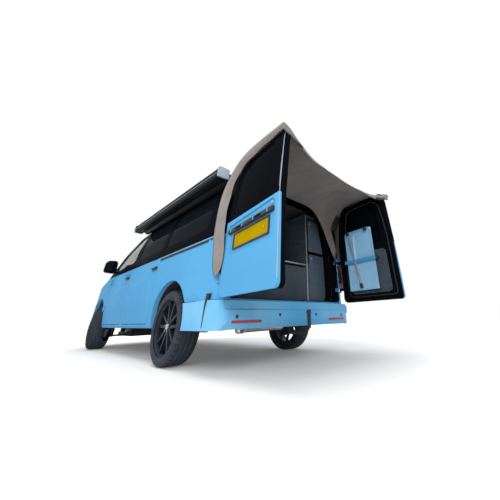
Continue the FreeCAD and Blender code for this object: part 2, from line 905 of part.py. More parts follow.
def front_bumper(full_wall):
    """The lower nose panel with its middle intake and two lamp pockets."""
    arch = arch_cut(front_x)
    panel = biggest(full_wall.common(front_bumper_zone()).cut(arch).cut(mirror(arch)))
    drop = front_bumper_z - sill_z
    half = [(a * half_width, sill_z + b * drop, c * half_width) for a, b, c in intake_shares]
    panel = panel.cut(prism(both_sides(half), from_front(front_x + arch_radius), flat_x * 2 * overrun))
    pocket_z = sill_z + drop * 0.45
    for side in (1, -1):
        y = side * half_width * 0.68
        panel = panel.cut(tube(Vec(front_x + arch_radius, y, pocket_z), Vec(nose_x + overrun, y, pocket_z),
                               rail_wide * 0.6))
    return biggest(panel)


def bumper_outline(inset):
    x = tail_x - bumper_out
    front = tail_x + rear_overhang * 0.6
    side_y = half_width + seam
    return prism([(x, side_y, arch_depth * 1.2), (front, side_y, 0.0), (front, -side_y, 0.0),
                  (x, -side_y, arch_depth * 1.2)], from_above(sill_z - 2 * seam),
                 up * (bumper_top_z - sill_z + 2 * seam), inset)


def rear_bumper():
    """A moulded bumper with a stepped face, wrapped round to the wheel arches, and the beam behind it."""
    skin = bumper_outline(0.0)
    step = bumper_top_z - arch_depth * 0.62
    edge = half_width + overrun
    out = tail_x - bumper_out + seam / 2
    face = [(out + bumper_wall, sill_z - 3 * seam, wall / 2),
            (out, sill_z + wall, wall),
            (out, step, seam),
            (out + seam * 2, step + seam, seam),
            (out + seam * 3, bumper_top_z + seam, wall / 4),
            (overrun, bumper_top_z + seam, 0.0),
            (overrun, sill_z - 3 * seam, 0.0)]
    skin = skin.common(prism(face, from_side(-edge), flat_y * 2 * edge))
    under = bumper_outline(bumper_wall).common(
        block(tail_x - overrun, overrun, -edge, edge, 0, bumper_top_z - bumper_wall))
    middle = bumper_outline(arch_depth)
    front = tail_x + rear_overhang * 0.6
    mouth = block(front - 2 * arch_depth, front, -half_width + bumper_wall, half_width - bumper_wall,
                  0, bumper_top_z)
    inside = block(tail_x + arch_depth + wall - seam, front, -half_width + wall - seam / 4,
                   half_width - wall + seam / 4, 0, bumper_top_z)
    for tool in (under, middle, mouth, inside, rear_arch_room(), mirror(rear_arch_room())):
        skin = skin.cut(tool)
    beam = block(tail_x - bumper_out + bumper_wall - seam, tail_x + rail_deep, -half_width * 0.62,
                 half_width * 0.62, floor_z - rail_deep, floor_z - rail_deep / 3)
    lip = block(tail_x + arch_depth, front - 2 * arch_depth, half_width - bumper_wall, half_width - seam,
                bumper_top_z - bumper_wall, bumper_top_z + seam)
    return biggest(fuse([biggest(skin), beam, lip, mirror(lip)]))


def rear_arch_room():
    return tube(Vec(0, half_width / 2, tyre_radius), Vec(0, half_width + overrun, tyre_radius), arch_radius)


# Floor and running gear
def wheel_house(x, inner_y, inner):
    """Liner over one left wheel: a half tube closed on its inner side."""
    room = arch_radius + house_thick
    liner = tube(Vec(x, inner_y, tyre_radius), Vec(x, half_width, tyre_radius), room, arch_radius)
    disc = tube(Vec(x, inner_y, tyre_radius), Vec(x, inner_y + house_thick, tyre_radius), room)
    above = block(x - room, x + room, 0, half_width, floor_z - floor_thick, roof_z)
    return liner.fuse(disc).common(above).common(inner)


def cross_member_z():
    return floor_z - rail_deep * 0.7


def floor_pan(inner):
    """Floor, bulkhead, wheel houses and the two long rails with their cross members, as one pressing."""
    back = tail_x + arch_depth + wall
    front = front_x - arch_depth
    plate = block(back, front, -half_width, half_width, floor_z - floor_thick, floor_z)
    foot_x = front - floor_thick
    toe = prism([(foot_x, floor_z - floor_thick, 0.0), (foot_x + floor_thick, floor_z - floor_thick, 0.0),
                 (foot_x + floor_thick + arch_depth * 1.5, belt_z - arch_depth, 0.0),
                 (foot_x + arch_depth * 1.5, belt_z - arch_depth, 0.0)],
                from_side(-half_width), flat_y * 2 * half_width)
    pan = plate.fuse(toe).common(inner)
    for x, inner_y in ((0.0, rear_house_y), (front_x, front_house_y)):
        room = tube(Vec(x, inner_y, tyre_radius), Vec(x, half_width + overrun, tyre_radius),
                    arch_radius + house_thick / 2)
        pan = pan.cut(room).cut(mirror(room))
    pieces = [pan]
    for x, inner_y in ((0.0, rear_house_y), (front_x, front_house_y)):
        house = wheel_house(x, inner_y, inner)
        pieces += [house, mirror(house)]
    rail = block(tail_x + rail_deep, nose_x - arch_depth, rail_y - rail_wide / 2, rail_y + rail_wide / 2,
                 floor_z - rail_deep, floor_z - floor_thick)
    beam = block(nose_x - arch_depth - seam, nose_x, -rail_y - rail_wide, rail_y + rail_wide,
                 floor_z - rail_deep, floor_z).common(inner)
    pieces += [rail, mirror(rail), beam]
    for share in (0.17, 0.36, 0.47, 0.58, 0.7):
        x = x_at(share)
        reach = rear_house_y if abs(x) < arch_radius else half_width - wall
        pieces.append(block(x, x + rail_wide, -reach, reach,
                            cross_member_z(), floor_z - floor_thick).common(inner))
    return biggest(fuse(pieces))


def tyre(x):
    """A left-hand tyre on its wheel centre."""
    height = tyre_radius - rim_radius
    section = spread(tyre_shares, wheel_y, wheel_y + tyre_width, tyre_radius + rim_radius,
                     tyre_radius + rim_radius + height, height)
    face = Part.Face(rounded_wire(section, from_front(x)))
    return face.revolve(Vec(x, 0, tyre_radius), flat_y, 360)


tyre_shares = [
    (-0.44, 0.0, 0.0),
    (-0.5, 0.42, 0.5),
    (-0.46, 1.0, 0.32),
    (0.46, 1.0, 0.32),
    (0.5, 0.42, 0.5),
    (0.44, 0.0, 0.0),
]
barrel_shares = [
    (-0.44, 0.0, 0.0),
    (-0.44, 1.0, 0.0),
    (0.44, 1.0, 0.0),
    (0.44, 0.0, 0.0),
    (0.36, 0.0, 0.3),
    (0.3, -1.6, 0.5),
    (-0.3, -1.6, 0.5),
    (-0.38, 0.0, 0.3),
]


def rim(x):
    """A left-hand alloy wheel: barrel, paired spokes, hub and the brake disc bolted behind it."""
    base = rim_radius - rim_wall
    section = spread(barrel_shares, wheel_y, wheel_y + tyre_width, tyre_radius + base,
                     tyre_radius + rim_radius, rim_wall)
    barrel = Part.Face(rounded_wire(section, from_front(x))).revolve(Vec(x, 0, tyre_radius), flat_y, 360)
    drop_centre = tube(Vec(x, wheel_y - tyre_width * 0.3, tyre_radius),
                       Vec(x, wheel_y + tyre_width * 0.3, tyre_radius), base - rim_wall * 1.2)
    face_y = wheel_y + tyre_width * 0.44 - spoke_dish
    pieces = [barrel]
    spoke = paired_spokes(x, face_y)
    for i in range(spoke_pairs):
        pieces.append(turned(spoke, 360 * i / spoke_pairs, Vec(x, 0, tyre_radius), flat_y))
    hub = tube(Vec(x, hub_back(), tyre_radius), Vec(x, face_y, tyre_radius), hub_radius)
    disc = tube(Vec(x, hub_back(), tyre_radius), Vec(x, hub_back() + disc_thick, tyre_radius), disc_radius)
    bore = tube(Vec(x, hub_back() - seam, tyre_radius), Vec(x, face_y - spoke_depth, tyre_radius), hub_bore)
    whole = fuse(pieces + [hub, disc]).cut(bore)
    return biggest(whole)


def hub_back():
    return wheel_y - tyre_width * 0.36


def paired_spokes(x, face_y):
    """Two spokes that part from the hub to the barrel, seen along the axle."""
    reach = rim_radius - rim_wall * 1.4
    root = hub_radius * 0.7
    shapes = []
    for side in (1, -1):
        points = [(x + side * root * 0.12, tyre_radius + root, 0.0),
                  (x + side * root * 0.72, tyre_radius + root, 0.0),
                  (x + side * reach * 0.31, tyre_radius + reach * 0.955, 0.0),
                  (x + side * reach * 0.22, tyre_radius + reach * 0.976, 0.0)]
        shapes.append(prism(points, from_side(face_y - spoke_depth), flat_y * spoke_depth))
    return shapes[0].fuse(shapes[1])


def stub(x):
    """The stub axle a left hub runs on."""
    return tube(Vec(x, kingpin_y, tyre_radius),
                Vec(x, wheel_y + tyre_width * 0.44 - spoke_dish - spoke_depth - run_gap, tyre_radius),
                hub_bore - pin_gap)


def knuckle():
    """Left front upright: hub carrier, steering arm and the foot of the strut, straight ahead."""
    carrier = upright(front_x, kingpin_y, arm_z() + rail_wide / 4 + lug_gap, tyre_radius + disc_radius * 0.55,
                      knuckle_radius)
    boss = tube(Vec(front_x, kingpin_y, tyre_radius), Vec(front_x, hub_back() - run_gap, tyre_radius),
                hub_radius * 0.8)
    strut = upright(front_x, kingpin_y, tyre_radius, strut_top_z(), knuckle_radius * 0.75)
    seat = upright(front_x, kingpin_y, tyre_radius * 2 + wall / 3, tyre_radius * 2 + wall / 2,
                   knuckle_radius * 1.6)
    arm = block(front_x - arch_depth, front_x, kingpin_y - knuckle_radius * 1.1,
                kingpin_y - knuckle_radius * 0.3, tyre_radius - disc_radius / 2,
                tyre_radius - disc_radius / 2 + rail_wide / 4)
    return biggest(fuse([carrier, boss, strut, seat, arm, stub(front_x)]))


def arm_z():
    return tyre_radius - disc_radius * 0.92


def strut_top_z():
    return tyre_radius + arch_radius - wall / 2


def front_subframe():
    """Cradle under the engine with its lower arms, steering rack and front beam."""
    low = arm_z() - rail_wide / 4
    pieces = []
    for side in (1, -1):
        y = side * rail_y
        pieces.append(block(front_x - arch_depth * 2.6, front_x + arch_depth * 4, y - rail_wide / 2,
                            y + rail_wide / 2, low, low + rail_wide))
        for x in (front_x - arch_depth * 2.4, front_x + arch_depth * 2.6):
            pieces.append(block(x, x + rail_wide, y - rail_wide / 2, y + rail_wide / 2, low,
                                floor_z - rail_deep))
        arm = prism([(front_x - arch_depth * 1.5, y, 0.0), (front_x - arch_depth, y, 0.0),
                     (front_x, side * (kingpin_y - rail_wide / 2), 0.0), (front_x + arch_depth / 2, y, 0.0),
                     (front_x + arch_depth, y, 0.0), (front_x + rail_wide / 2, side * kingpin_y, 0.0),
                     (front_x - rail_wide / 2, side * kingpin_y, 0.0)][::side],
                    from_above(low + rail_wide / 8), up * rail_wide * 3 / 8)
        eye = upright(front_x, side * kingpin_y, low, low + rail_wide / 2, knuckle_radius)
        pieces += [arm, eye]
    for x in (front_x - arch_depth * 2.4, front_x + arch_depth * 2.6):
        pieces.append(block(x, x + rail_wide, -rail_y, rail_y, low, low + rail_wide))
    rack_z = low + rail_wide * 1.5
    pieces.append(block(front_x - arch_depth * 2.4, front_x - arch_depth * 2.4 + rail_wide,
                        -front_house_y + rail_wide * 1.2, front_house_y - rail_wide * 1.2, low + rail_wide / 2,
                        rack_z))
    return biggest(fuse(pieces))


def engine_block():
    """Engine and gearbox as one plain mass on the cradle."""
    low = arm_z() + rail_wide * 3 / 4
    return block(front_x + rail_wide, front_x + arch_depth * 4.4, -front_house_y + rail_wide * 2,
                 front_house_y - rail_wide * 2, low, low + arch_depth * 4.6)


def rear_axle():
    """Trailing arms on a cross tube, springs under the rails, dampers and stub axles."""
    tube_x = arch_radius + rail_wide
    tube_z = floor_z - rail_deep - rail_wide / 2
    pieces = [tube(Vec(tube_x, -rear_house_y + rail_wide / 2, tube_z),
                   Vec(tube_x, rear_house_y - rail_wide / 2, tube_z), rail_wide / 2)]
    for side in (1, -1):
        y = side * (rear_house_y - rail_wide / 2)
        inner_y = side * (hub_back() - run_gap - rail_wide)
        pieces.append(tube(Vec(tube_x, y, tube_z), Vec(0, side * kingpin_y, tyre_radius), rail_wide * 0.4))
        pieces.append(tube(Vec(0, side * (kingpin_y - rail_wide), tyre_radius),
                           Vec(0, side * (hub_back() - run_gap), tyre_radius), hub_radius * 0.8))
        pieces.append(on_side(stub(0.0), side))
        spring_x = arch_radius / 2
        pieces.append(upright(spring_x, side * (rail_y + rail_wide * 1.15), tyre_radius - rail_wide / 4,
                              floor_z - floor_thick, rail_wide * 0.62))
        pieces.append(tube(Vec(spring_x, side * rail_y, tyre_radius), Vec(spring_x, y, tyre_radius),
                           rail_wide * 0.3))
    return biggest(fuse(pieces))


exhaust_radius = 27.0
exhaust_y = -120.0
exhaust_tip_y = 560.0


def exhaust():
    """Down pipe, silencer and tail pipe to the left rear corner."""
    z = floor_z - rail_deep - rail_wide - arch_depth / 2
    bends = [Vec(front_x - arch_depth * 3, exhaust_y, z), Vec(tail_x * 0.62, exhaust_y, z),
             Vec(tail_x * 0.8, exhaust_tip_y, z), Vec(tail_x, exhaust_tip_y, z)]
    pieces = [tube(a, b, exhaust_radius) for a, b in zip(bends, bends[1:])]
    pieces += [Part.makeSphere(exhaust_radius, bend) for bend in bends[1:-1]]
    silencer = tube(Vec(wheelbase * 0.36, exhaust_y, z), Vec(wheelbase * 0.54, exhaust_y, z),
                    exhaust_radius * 3)
    hangers = [block(x, x + exhaust_radius, exhaust_y - exhaust_radius / 2, exhaust_y + exhaust_radius / 2,
                     z, cross_member_z()) for x in (x_at(0.583), x_at(0.363))]
    tip = tube(Vec(tail_x * 0.98, exhaust_tip_y, z), Vec(tail_x - bumper_out / 2, exhaust_tip_y, z),
               exhaust_radius * 1.15)
    tip = tip.fuse(pieces[-1]).cut(tube(Vec(tail_x * 0.9, exhaust_tip_y, z),
                                        Vec(tail_x - bumper_out, exhaust_tip_y, z), exhaust_radius * 0.85))
    return biggest(fuse(pieces[:2] + pieces[3:] + [silencer, tip] + hangers))


def tow_bar():
    """Cross tube between the rails' ends, its side plates and the swan neck with its ball."""
    x = tail_x + rail_deep
    z = floor_z - rail_deep - rail_wide
    cross = block(x, x + rail_wide, -rail_y - rail_wide, rail_y + rail_wide, z, z + rail_wide * 0.8)
    plates = [block(x, x + rail_wide, side * rail_y - rail_wide / 2, side * rail_y + rail_wide / 2,
                    z, floor_z - rail_deep) for side in (1, -1)]
    low_z = sill_z - rail_wide
    neck_radius = ball_radius * 0.72
    path = [Vec(x + rail_wide / 2, 0, z + rail_wide * 0.3), Vec(x, 0, low_z),
            Vec(ball_x + rail_wide, 0, low_z), Vec(ball_x, 0, low_z + rail_wide * 0.8),
            Vec(ball_x, 0, ball_z)]
    neck = [tube(a, b, neck_radius) for a, b in zip(path, path[1:])]
    neck += [Part.makeSphere(neck_radius, p) for p in path[1:-1]]
    ball = Part.makeSphere(ball_radius, path[-1])
    return biggest(fuse([cross] + plates + neck + [ball]))


inlet_wide = 92.0
inlet_deep = 46.0
inlet_z = 430.0


def hookup_inlet():
    """Mains inlet with its flap, on the right end of the rear bumper."""
    y = half_width + seam
    x = tail_x + rail_wide / 2
    box = block(x, x + inlet_wide, -y - inlet_deep, -y, inlet_z, inlet_z + inlet_wide)
    box = box.makeFillet(inlet_deep / 6, [e for e in box.Edges if abs(e.CenterOfMass.y + y + inlet_deep) < seam])
    lid = block(x + inlet_wide / 8, x + inlet_wide * 7 / 8, -y - inlet_deep * 1.25, -y - inlet_deep / 2,
                inlet_z + inlet_wide / 8, inlet_z + inlet_wide * 0.8)
    return biggest(box.fuse(lid))


# Roof fittings and canopy
awning_shares = [
    (0.0, 0.18, 0.12),
    (0.3, 0.0, 0.2),
    (0.86, 0.0, 0.22),
    (1.0, 0.3, 0.25),
    (1.0, 0.86, 0.18),
    (0.8, 1.0, 0.2),
    (0.06, 1.0, 0.1),
]


def awning_cassette(outer):
    """The closed wind-out awning beside the roof, with end caps and three roof brackets."""
    outline = spread(awning_shares, awning_out_y - awning_deep, awning_out_y, awning_low_z,
                     awning_low_z + awning_tall, awning_deep)
    case = prism(outline, from_front(awning_back_x), flat_x * (awning_front_x - awning_back_x))
    pieces = [case]
    for x in (awning_back_x - wall / 2, awning_front_x):
        pieces.append(prism(outline, from_front(x), flat_x * wall / 2, -seam / 2))
    inside = awning_out_y - awning_deep
    for share in (0.08, 0.5, 0.9):
        x = awning_back_x + share * (awning_front_x - awning_back_x)
        bracket = block(x, x + rail_wide, inside - arch_depth * 1.2, inside + wall / 2,
                        awning_low_z + awning_tall * 0.25, awning_low_z + awning_tall * 0.5)
        pieces.append(biggest_outside(bracket.cut(outer)))
    return biggest(fuse(pieces))


def biggest_outside(shape):
    return max(shape.Solids, key=lambda solid: solid.CenterOfMass.y)


def canopy_top_z():
    return door_top_z + seam + canopy_clear


def canopy_half(outer, side):
    """One half of the fabric roof over the open rear doors, with the strip down its hinge gap."""
    z = canopy_top_z()
    swing = door_edge_y + seam * 3
    tip = rear_hinge_x - swing
    edge = rear_hinge_y + arch_depth * 0.9
    past = max(left_open - 94.0, 0.0) if side > 0 else 0.0
    corners = [Vec(tip, 0, z), Vec(tail_x + arch_depth, 0, z), Vec(tail_x + arch_depth, edge, z),
               Vec(tip, edge + swing * math.tan(math.radians(past)), z)]
    sheet = Part.Face(Part.makePolygon(corners + corners[:1])).extrude(Vec(0, 0, canopy_thick))
    sheet = on_side(sheet, side)
    sheet = sheet.cut(block(tip, 0, -pin_gap, pin_gap, z, z + canopy_thick))
    strip_y = rear_hinge_y + arch_depth / 3
    outline = [(rear_hinge_x + arch_depth / 4, z + canopy_thick, 0.0), (rear_hinge_x - arch_depth, z, 0.0),
               (rear_hinge_x - arch_depth * 0.8, belt_z, 0.0), (rear_hinge_x, rear_low_hinge_z, 0.0),
               (rear_hinge_x + arch_depth / 6, rear_low_hinge_z, 0.0)]
    strip = prism(outline, from_side(strip_y), flat_y * canopy_thick)
    strip = turned(on_side(strip, side), hinge_swing(side, past), Vec(rear_hinge_x, side * rear_hinge_y, 0))
    whole = sheet.fuse(strip).cut(moved(outer, x=-pin_gap))
    return biggest(whole)


# Inside
def dashboard(inner):
    """Dashboard on its beam between the pillars, with the steering column and wheel on the right."""
    edge = half_width - wall - 3 * seam
    back = cab_front_x - rail_wide
    points = [(back, belt_z - arch_depth * 2.9, wall), (back + arch_depth * 2.4, belt_z - arch_depth * 2.9, 0.0),
              (back + arch_depth * 3.9, belt_z - arch_depth * 0.6, wall / 2),
              (back + arch_depth * 0.7, belt_z - arch_depth * 0.45, wall),
              (back, belt_z - arch_depth * 1.5, wall)]
    beam = block(cab_front_x + 4 * seam, cab_front_x + 4 * seam + rail_wide, -half_width, half_width,
                 belt_z - arch_depth * 1.8, belt_z - arch_depth * 1.3)
    body = prism(points, from_side(-edge), flat_y * 2 * edge).fuse(beam).common(inner)
    for x, inner_y in ((front_x, front_house_y),):
        room = tube(Vec(x, inner_y - seam, tyre_radius), Vec(x, half_width, tyre_radius),
                    arch_radius + house_thick + seam / 2)
        body = body.cut(room).cut(mirror(room))
    centre = Vec(back - arch_depth * 0.9, -seat_y, belt_z + seam)
    lean = Vec(-0.78, 0, 0.62)
    ring = Part.makeTorus(wheel_ring, exhaust_radius * 0.55, centre, lean)
    spokes = [tube(centre, centre + flat_y * wheel_ring * s, exhaust_radius * 0.4) for s in (1, -1)]
    column = tube(centre, centre - lean.normalize() * arch_depth * 2.2, exhaust_radius)
    return biggest(fuse([body, column, ring] + spokes))


wheel_ring = 185.0
seat_y = 430.0
seat_wide = 500.0
seat_shares = [
    (0.16, 0.0, 0.0),
    (0.86, 0.0, 0.0),
    (0.9, 0.3, 0.05),
    (1.0, 0.36, 0.06),
    (0.98, 0.47, 0.06),
    (0.3, 0.43, 0.06),
    (0.1, 1.0, 0.04),
    (-0.06, 0.99, 0.04),
    (0.08, 0.36, 0.06),
]


def front_seats():
    """Two cab seats on their boxes."""
    long = seat_wide * 1.15
    outline = spread(seat_shares, cab_front_x - arch_depth * 2 - long, cab_front_x - arch_depth * 2,
                     floor_z, floor_z + seat_wide * 1.9, seat_wide)
    seats = []
    for side in (1, -1):
        y = side * seat_y
        seat = prism(outline, from_side(y - seat_wide / 2), flat_y * seat_wide)
        rest_x = cab_front_x - arch_depth * 2 - long
        rest = block(rest_x - wall / 3, rest_x + wall * 1.2, y - seat_wide / 4, y + seat_wide / 4,
                     floor_z + seat_wide * 1.8, floor_z + seat_wide * 2.2)
        seats.append(seat.fuse(rest).removeSplitter())
    return group(seats)


bed_z = 985.0
board_thick = 18.0
cabinet_y = -385.0
cabinet_front_x = 1060.0
furniture_back_x = -772.0
tall_cabinet_z = 1700.0
tall_cabinet_long = 520.0


def furniture_inside(inner):
    return inner.common(block(tail_x, front_x, -half_width, half_width, floor_z, roof_z))


def bed_platform(room):
    """Sleeping platform from the cabinet to the left side, on two uprights."""
    top = block(furniture_back_x, cabinet_front_x, cabinet_y, half_width, bed_z, bed_z + board_thick)
    pieces = [top]
    for y in (cabinet_y, -cabinet_y / 2):
        pieces.append(block(furniture_back_x, cabinet_front_x, y, y + board_thick, floor_z, bed_z))
    return biggest(fuse(pieces).common(room))


def cabinet(room):
    """Cabinets down the right side, the rear one tall."""
    low = block(furniture_back_x, cabinet_front_x, -half_width, cabinet_y, floor_z, bed_z + board_thick)
    tall = block(furniture_back_x, furniture_back_x + tall_cabinet_long, -half_width, cabinet_y,
                 floor_z, tall_cabinet_z)
    whole = low.fuse(tall).common(room)
    inside = block(furniture_back_x - board_thick, furniture_back_x + tall_cabinet_long - board_thick,
                   -half_width + wall + arch_depth, cabinet_y - board_thick, bed_z + 2 * board_thick,
                   tall_cabinet_z - board_thick)
    whole = whole.cut(inside)
    house = tube(Vec(0, -half_width, tyre_radius), Vec(0, -rear_house_y + house_thick, tyre_radius),
                 arch_radius + 2 * house_thick)
    return biggest(whole.cut(house))


def side_lining(inner, lining_form):
    """Trim on the load space's walls and ceiling."""
    skin = inner.cut(lining_form)
    back = tail_x + arch_depth + wall
    skin = skin.common(block(back, cab_back_x - seam, -half_width, half_width, floor_z + seam, roof_z))
    for name in ("rear", "slide"):
        skin = skin.cut(side_window(name)).cut(mirror(side_window(name)))
    skin = skin.cut(slide_outline(seam))
    house = tube(Vec(0, -half_width, tyre_radius), Vec(0, half_width, tyre_radius),
                 arch_radius + 2 * house_thick)
    return biggest(skin.cut(house))


def camping_table(outer):
    """Folded table clipped to the inside of the right rear door, with its leg tube."""
    low = door_bottom_z + arch_depth
    face = tail_x + rear_door_thick
    near = -rear_hinge_y + 2 * arch_depth
    far = near + table_wide
    high = low + table_tall
    slab = block(face + table_stand, face + table_stand + table_thick, near, far, low, high)
    slab = slab.makeFillet(table_thick / 3, slab.Edges)
    clips = [block(face - wall / 3, face + table_stand + table_thick / 2, y, y + rail_wide / 2, z,
                   z + rail_wide / 3) for y in (near + rail_wide, far - rail_wide * 1.5)
             for z in (low + rail_wide / 2, high - rail_wide)]
    clips = [clip.cut(moved(outer.cut(moved(outer, x=rear_door_thick)), x=0.0)) for clip in clips]
    clips = [max(clip.Solids, key=lambda s: s.CenterOfMass.x) for clip in clips]
    leg = tube(Vec(face + table_stand + table_thick, near + table_wide / 3, low + rail_wide),
               Vec(face + table_stand + table_thick, near + table_wide / 3, high - rail_wide), cab_pin * 1.6)
    return open_rear(biggest(fuse([slab, leg] + clips)), -1)


table_wide = 420.0
table_tall = 740.0
table_stand = 26.0


def wipers():
    """Two wiper arms and blades lying on the windscreen."""
    top, foot, along, outward = screen_line()
    slope = (foot - top).Length
    bow = screen_bow_share * half_width
    drop = screen_drop_share * half_width

    def on_screen(share, y, lift):
        fall = bow + drop - math.sqrt(bow * bow - y * y)
        return top + along * (share * slope) + outward * (lift - fall) + flat_y * y

    arms = []
    for shift in (0.0, -half_width * 0.62):
        seat = pin_gap / 2 - glass_inset + (0.0 if shift else seam * 0.45)
        rise = 0.0 if shift else seam * 1.29
        pivot = on_screen(0.875, half_width * 0.62 + shift, 2 * seam + seat) + Vec(0, 0, rise)
        elbow = on_screen(0.79, half_width * 0.2 + shift, 4 * seam)
        blade_in = on_screen(0.77, half_width * 0.46 + shift, 3.5 * seam)
        blade_out = on_screen(0.8, -half_width * 0.08 + shift, 3.5 * seam)
        arms.append(fuse([tube(pivot, elbow, seam * 0.8), tube(blade_in, blade_out, seam * 0.7),
                          tube(elbow, (blade_in + blade_out) * 0.5, seam * 0.8),
                          Part.makeSphere(seam * 2, pivot)]))
    return group(arms)


def to_origin(nodes):
    """Shift everything so that the middle of the whole length lies at X zero."""
    back = min(shape.optimalBoundingBox().XMin for shape in nodes.values())
    front = max(shape.optimalBoundingBox().XMax for shape in nodes.values())
    return {name: moved(shape, x=-(back + front) / 2) for name, shape in nodes.items()}, -(back + front) / 2


def build():
    outer = body_form(0)
    inner = body_form(wall)
    full_wall = outer.cut(inner)
    glass_form = body_form(glass_inset)
    glass_skin = glass_form.cut(body_form(glass_inset + glass_thick))
    room = furniture_inside(body_form(wall + board_thick / 2))
    nodes = {}
    nodes["body_shell"] = body_shell(outer, full_wall)
    nodes["floor_pan"] = floor_pan(inner)
    nodes["front_bumper"] = front_bumper(full_wall)
    nodes["grille"] = grille(glass_form, inner)
    nodes["headlamps"] = headlamps(full_wall)
    nodes["bonnet"] = bonnet(full_wall)
    nodes["windscreen"] = windscreen(glass_skin)
    nodes["side_glass"] = side_glass(glass_skin)
    nodes["sliding_door"] = sliding_door(full_wall)
    nodes["rear_bumper"] = rear_bumper()
    nodes["tail_lamps"] = tail_lamps(outer)
    nodes["tow_bar"] = tow_bar()
    nodes["hookup_inlet"] = hookup_inlet()
    nodes["awning_cassette"] = awning_cassette(outer)
    nodes["dashboard"] = dashboard(inner)
    nodes["front_seats"] = front_seats()
    nodes["bed_platform"] = bed_platform(room)
    nodes["cabinet"] = cabinet(room)
    nodes["side_lining"] = side_lining(inner, body_form(wall + house_thick))
    nodes["rear_axle"] = rear_axle()
    nodes["front_subframe"] = front_subframe()
    nodes["engine_block"] = engine_block()
    nodes["exhaust"] = exhaust()
    nodes["wipers"] = wipers()
    left_door = cab_door(full_wall)
    left_glass = cab_glass(glass_skin)
    nodes["front_door_left"] = left_door
    nodes["front_door_right"] = mirror(left_door)
    nodes["front_glass_left"] = left_glass
    nodes["front_glass_right"] = mirror(left_glass)
    for name, side in (("left", 1), ("right", -1)):
        nodes["rear_door_" + name] = rear_door(outer, side)
        nodes["rear_glass_" + name] = rear_glass(glass_skin, side)
        nodes["canopy_" + name] = canopy_half(outer, side)
    nodes["number_plate"] = number_plate(outer)
    nodes["camping_table"] = camping_table(outer)
    for end, x in (("rear", 0.0), ("front", front_x)):
        wheel_tyre = tyre(x)
        wheel_rim = rim(x)
        for name, side in (("left", 1), ("right", -1)):
            pair = [on_side(wheel_tyre, side), on_side(wheel_rim, side)]
            if end == "front":
                pin = Vec(front_x, side * kingpin_y, 0)
                pair = [turned(shape, steer_rest, pin) for shape in pair]
                nodes["knuckle_" + name] = turned(on_side(knuckle(), side), steer_rest, pin)
            nodes["tyre_" + end + "_" + name], nodes["rim_" + end + "_" + name] = pair
    return to_origin(nodes)


os.makedirs("parts", exist_ok=True)
pieces, shift = build()
print("shift", round(shift, 4), "nodes", len(pieces))
for name, shape in pieces.items():
    box = shape.BoundBox
    print(name, shape.isValid(), len(shape.Solids), round(shape.Volume / 1e6, 2),
          [round(v) for v in (box.XMin, box.XMax, box.YMin, box.YMax, box.ZMin, box.ZMax)])
    shape.exportStep("parts/" + name + ".step")
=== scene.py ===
import bpy
import math
from mathutils import Matrix, Vector, noise
from mathutils.bvhtree import BVHTree


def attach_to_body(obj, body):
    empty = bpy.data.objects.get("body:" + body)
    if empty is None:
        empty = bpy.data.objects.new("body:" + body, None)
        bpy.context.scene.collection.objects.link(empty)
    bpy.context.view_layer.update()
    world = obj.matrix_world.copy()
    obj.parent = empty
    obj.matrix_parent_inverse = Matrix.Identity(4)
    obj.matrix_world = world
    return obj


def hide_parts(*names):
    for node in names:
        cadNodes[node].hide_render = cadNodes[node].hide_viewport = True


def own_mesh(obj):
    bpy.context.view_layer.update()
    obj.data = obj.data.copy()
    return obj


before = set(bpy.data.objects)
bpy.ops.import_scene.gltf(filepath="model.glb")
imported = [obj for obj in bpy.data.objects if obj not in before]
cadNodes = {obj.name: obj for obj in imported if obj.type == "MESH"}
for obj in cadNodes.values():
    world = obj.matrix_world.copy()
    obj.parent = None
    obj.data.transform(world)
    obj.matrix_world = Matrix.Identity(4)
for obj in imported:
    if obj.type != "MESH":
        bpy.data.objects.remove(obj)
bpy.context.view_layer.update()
print("frame loaded with", len(cadNodes), "nodes")


# small helpers used all through
def mode(word):
    bpy.ops.object.mode_set(mode=word)


def active():
    return bpy.context.view_layer.objects.active


def linked(piece):
    bpy.context.scene.collection.objects.link(piece)
    return piece


def copyOf(piece):
    other = linked(piece.copy())
    other.data = piece.data.copy()
    return other


def clearSelection():
    if bpy.context.mode != "OBJECT":
        mode("OBJECT")
    bpy.ops.object.select_all(action="DESELECT")


def pickOnly(piece):
    clearSelection()
    piece.select_set(True)
    bpy.context.view_layer.objects.active = piece


def settle(piece):
    pickOnly(piece)
    bpy.ops.object.transform_apply(location=True, rotation=True, scale=True)


def applyModifiers(piece):
    pickOnly(piece)
    for modifier in list(piece.modifiers):
        bpy.ops.object.modifier_apply(modifier=modifier.name)


def openAll(piece):
    pickOnly(piece)
    mode("EDIT")
    bpy.ops.mesh.select_all(action="SELECT")


def turnOutward(piece):
    openAll(piece)
    bpy.ops.mesh.remove_doubles(threshold=0.00005)
    bpy.ops.mesh.normals_make_consistent(inside=False)
    mode("OBJECT")


def soften(piece, width, segments=2, degrees=30):
    bevel = piece.modifiers.new("edge", "BEVEL")
    bevel.width = width
    bevel.segments = segments
    bevel.limit_method = "ANGLE"
    bevel.angle_limit = math.radians(degrees)
    applyModifiers(piece)


def finish(piece, name, surface, body="vehicle_body", angle=35):
    settle(piece)
    piece.name = name
    piece.data.name = name
    piece.data.materials.clear()
    for one in [surface] if isinstance(surface, str) else surface:
        piece.data.materials.append(surfaces[one])
    bpy.ops.object.shade_smooth_by_angle(angle=math.radians(angle))
    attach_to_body(piece, body)


def joinAll(pieces):
    clearSelection()
    for piece in pieces:
        piece.select_set(True)
    bpy.context.view_layer.objects.active = pieces[0]
    bpy.ops.object.join()
    return active()


def meshPiece(name, points, faces):
    mesh = bpy.data.meshes.new(name)
    mesh.from_pydata([tuple(p) for p in points], [], faces)
    mesh.update()
    return linked(bpy.data.objects.new(name, mesh))


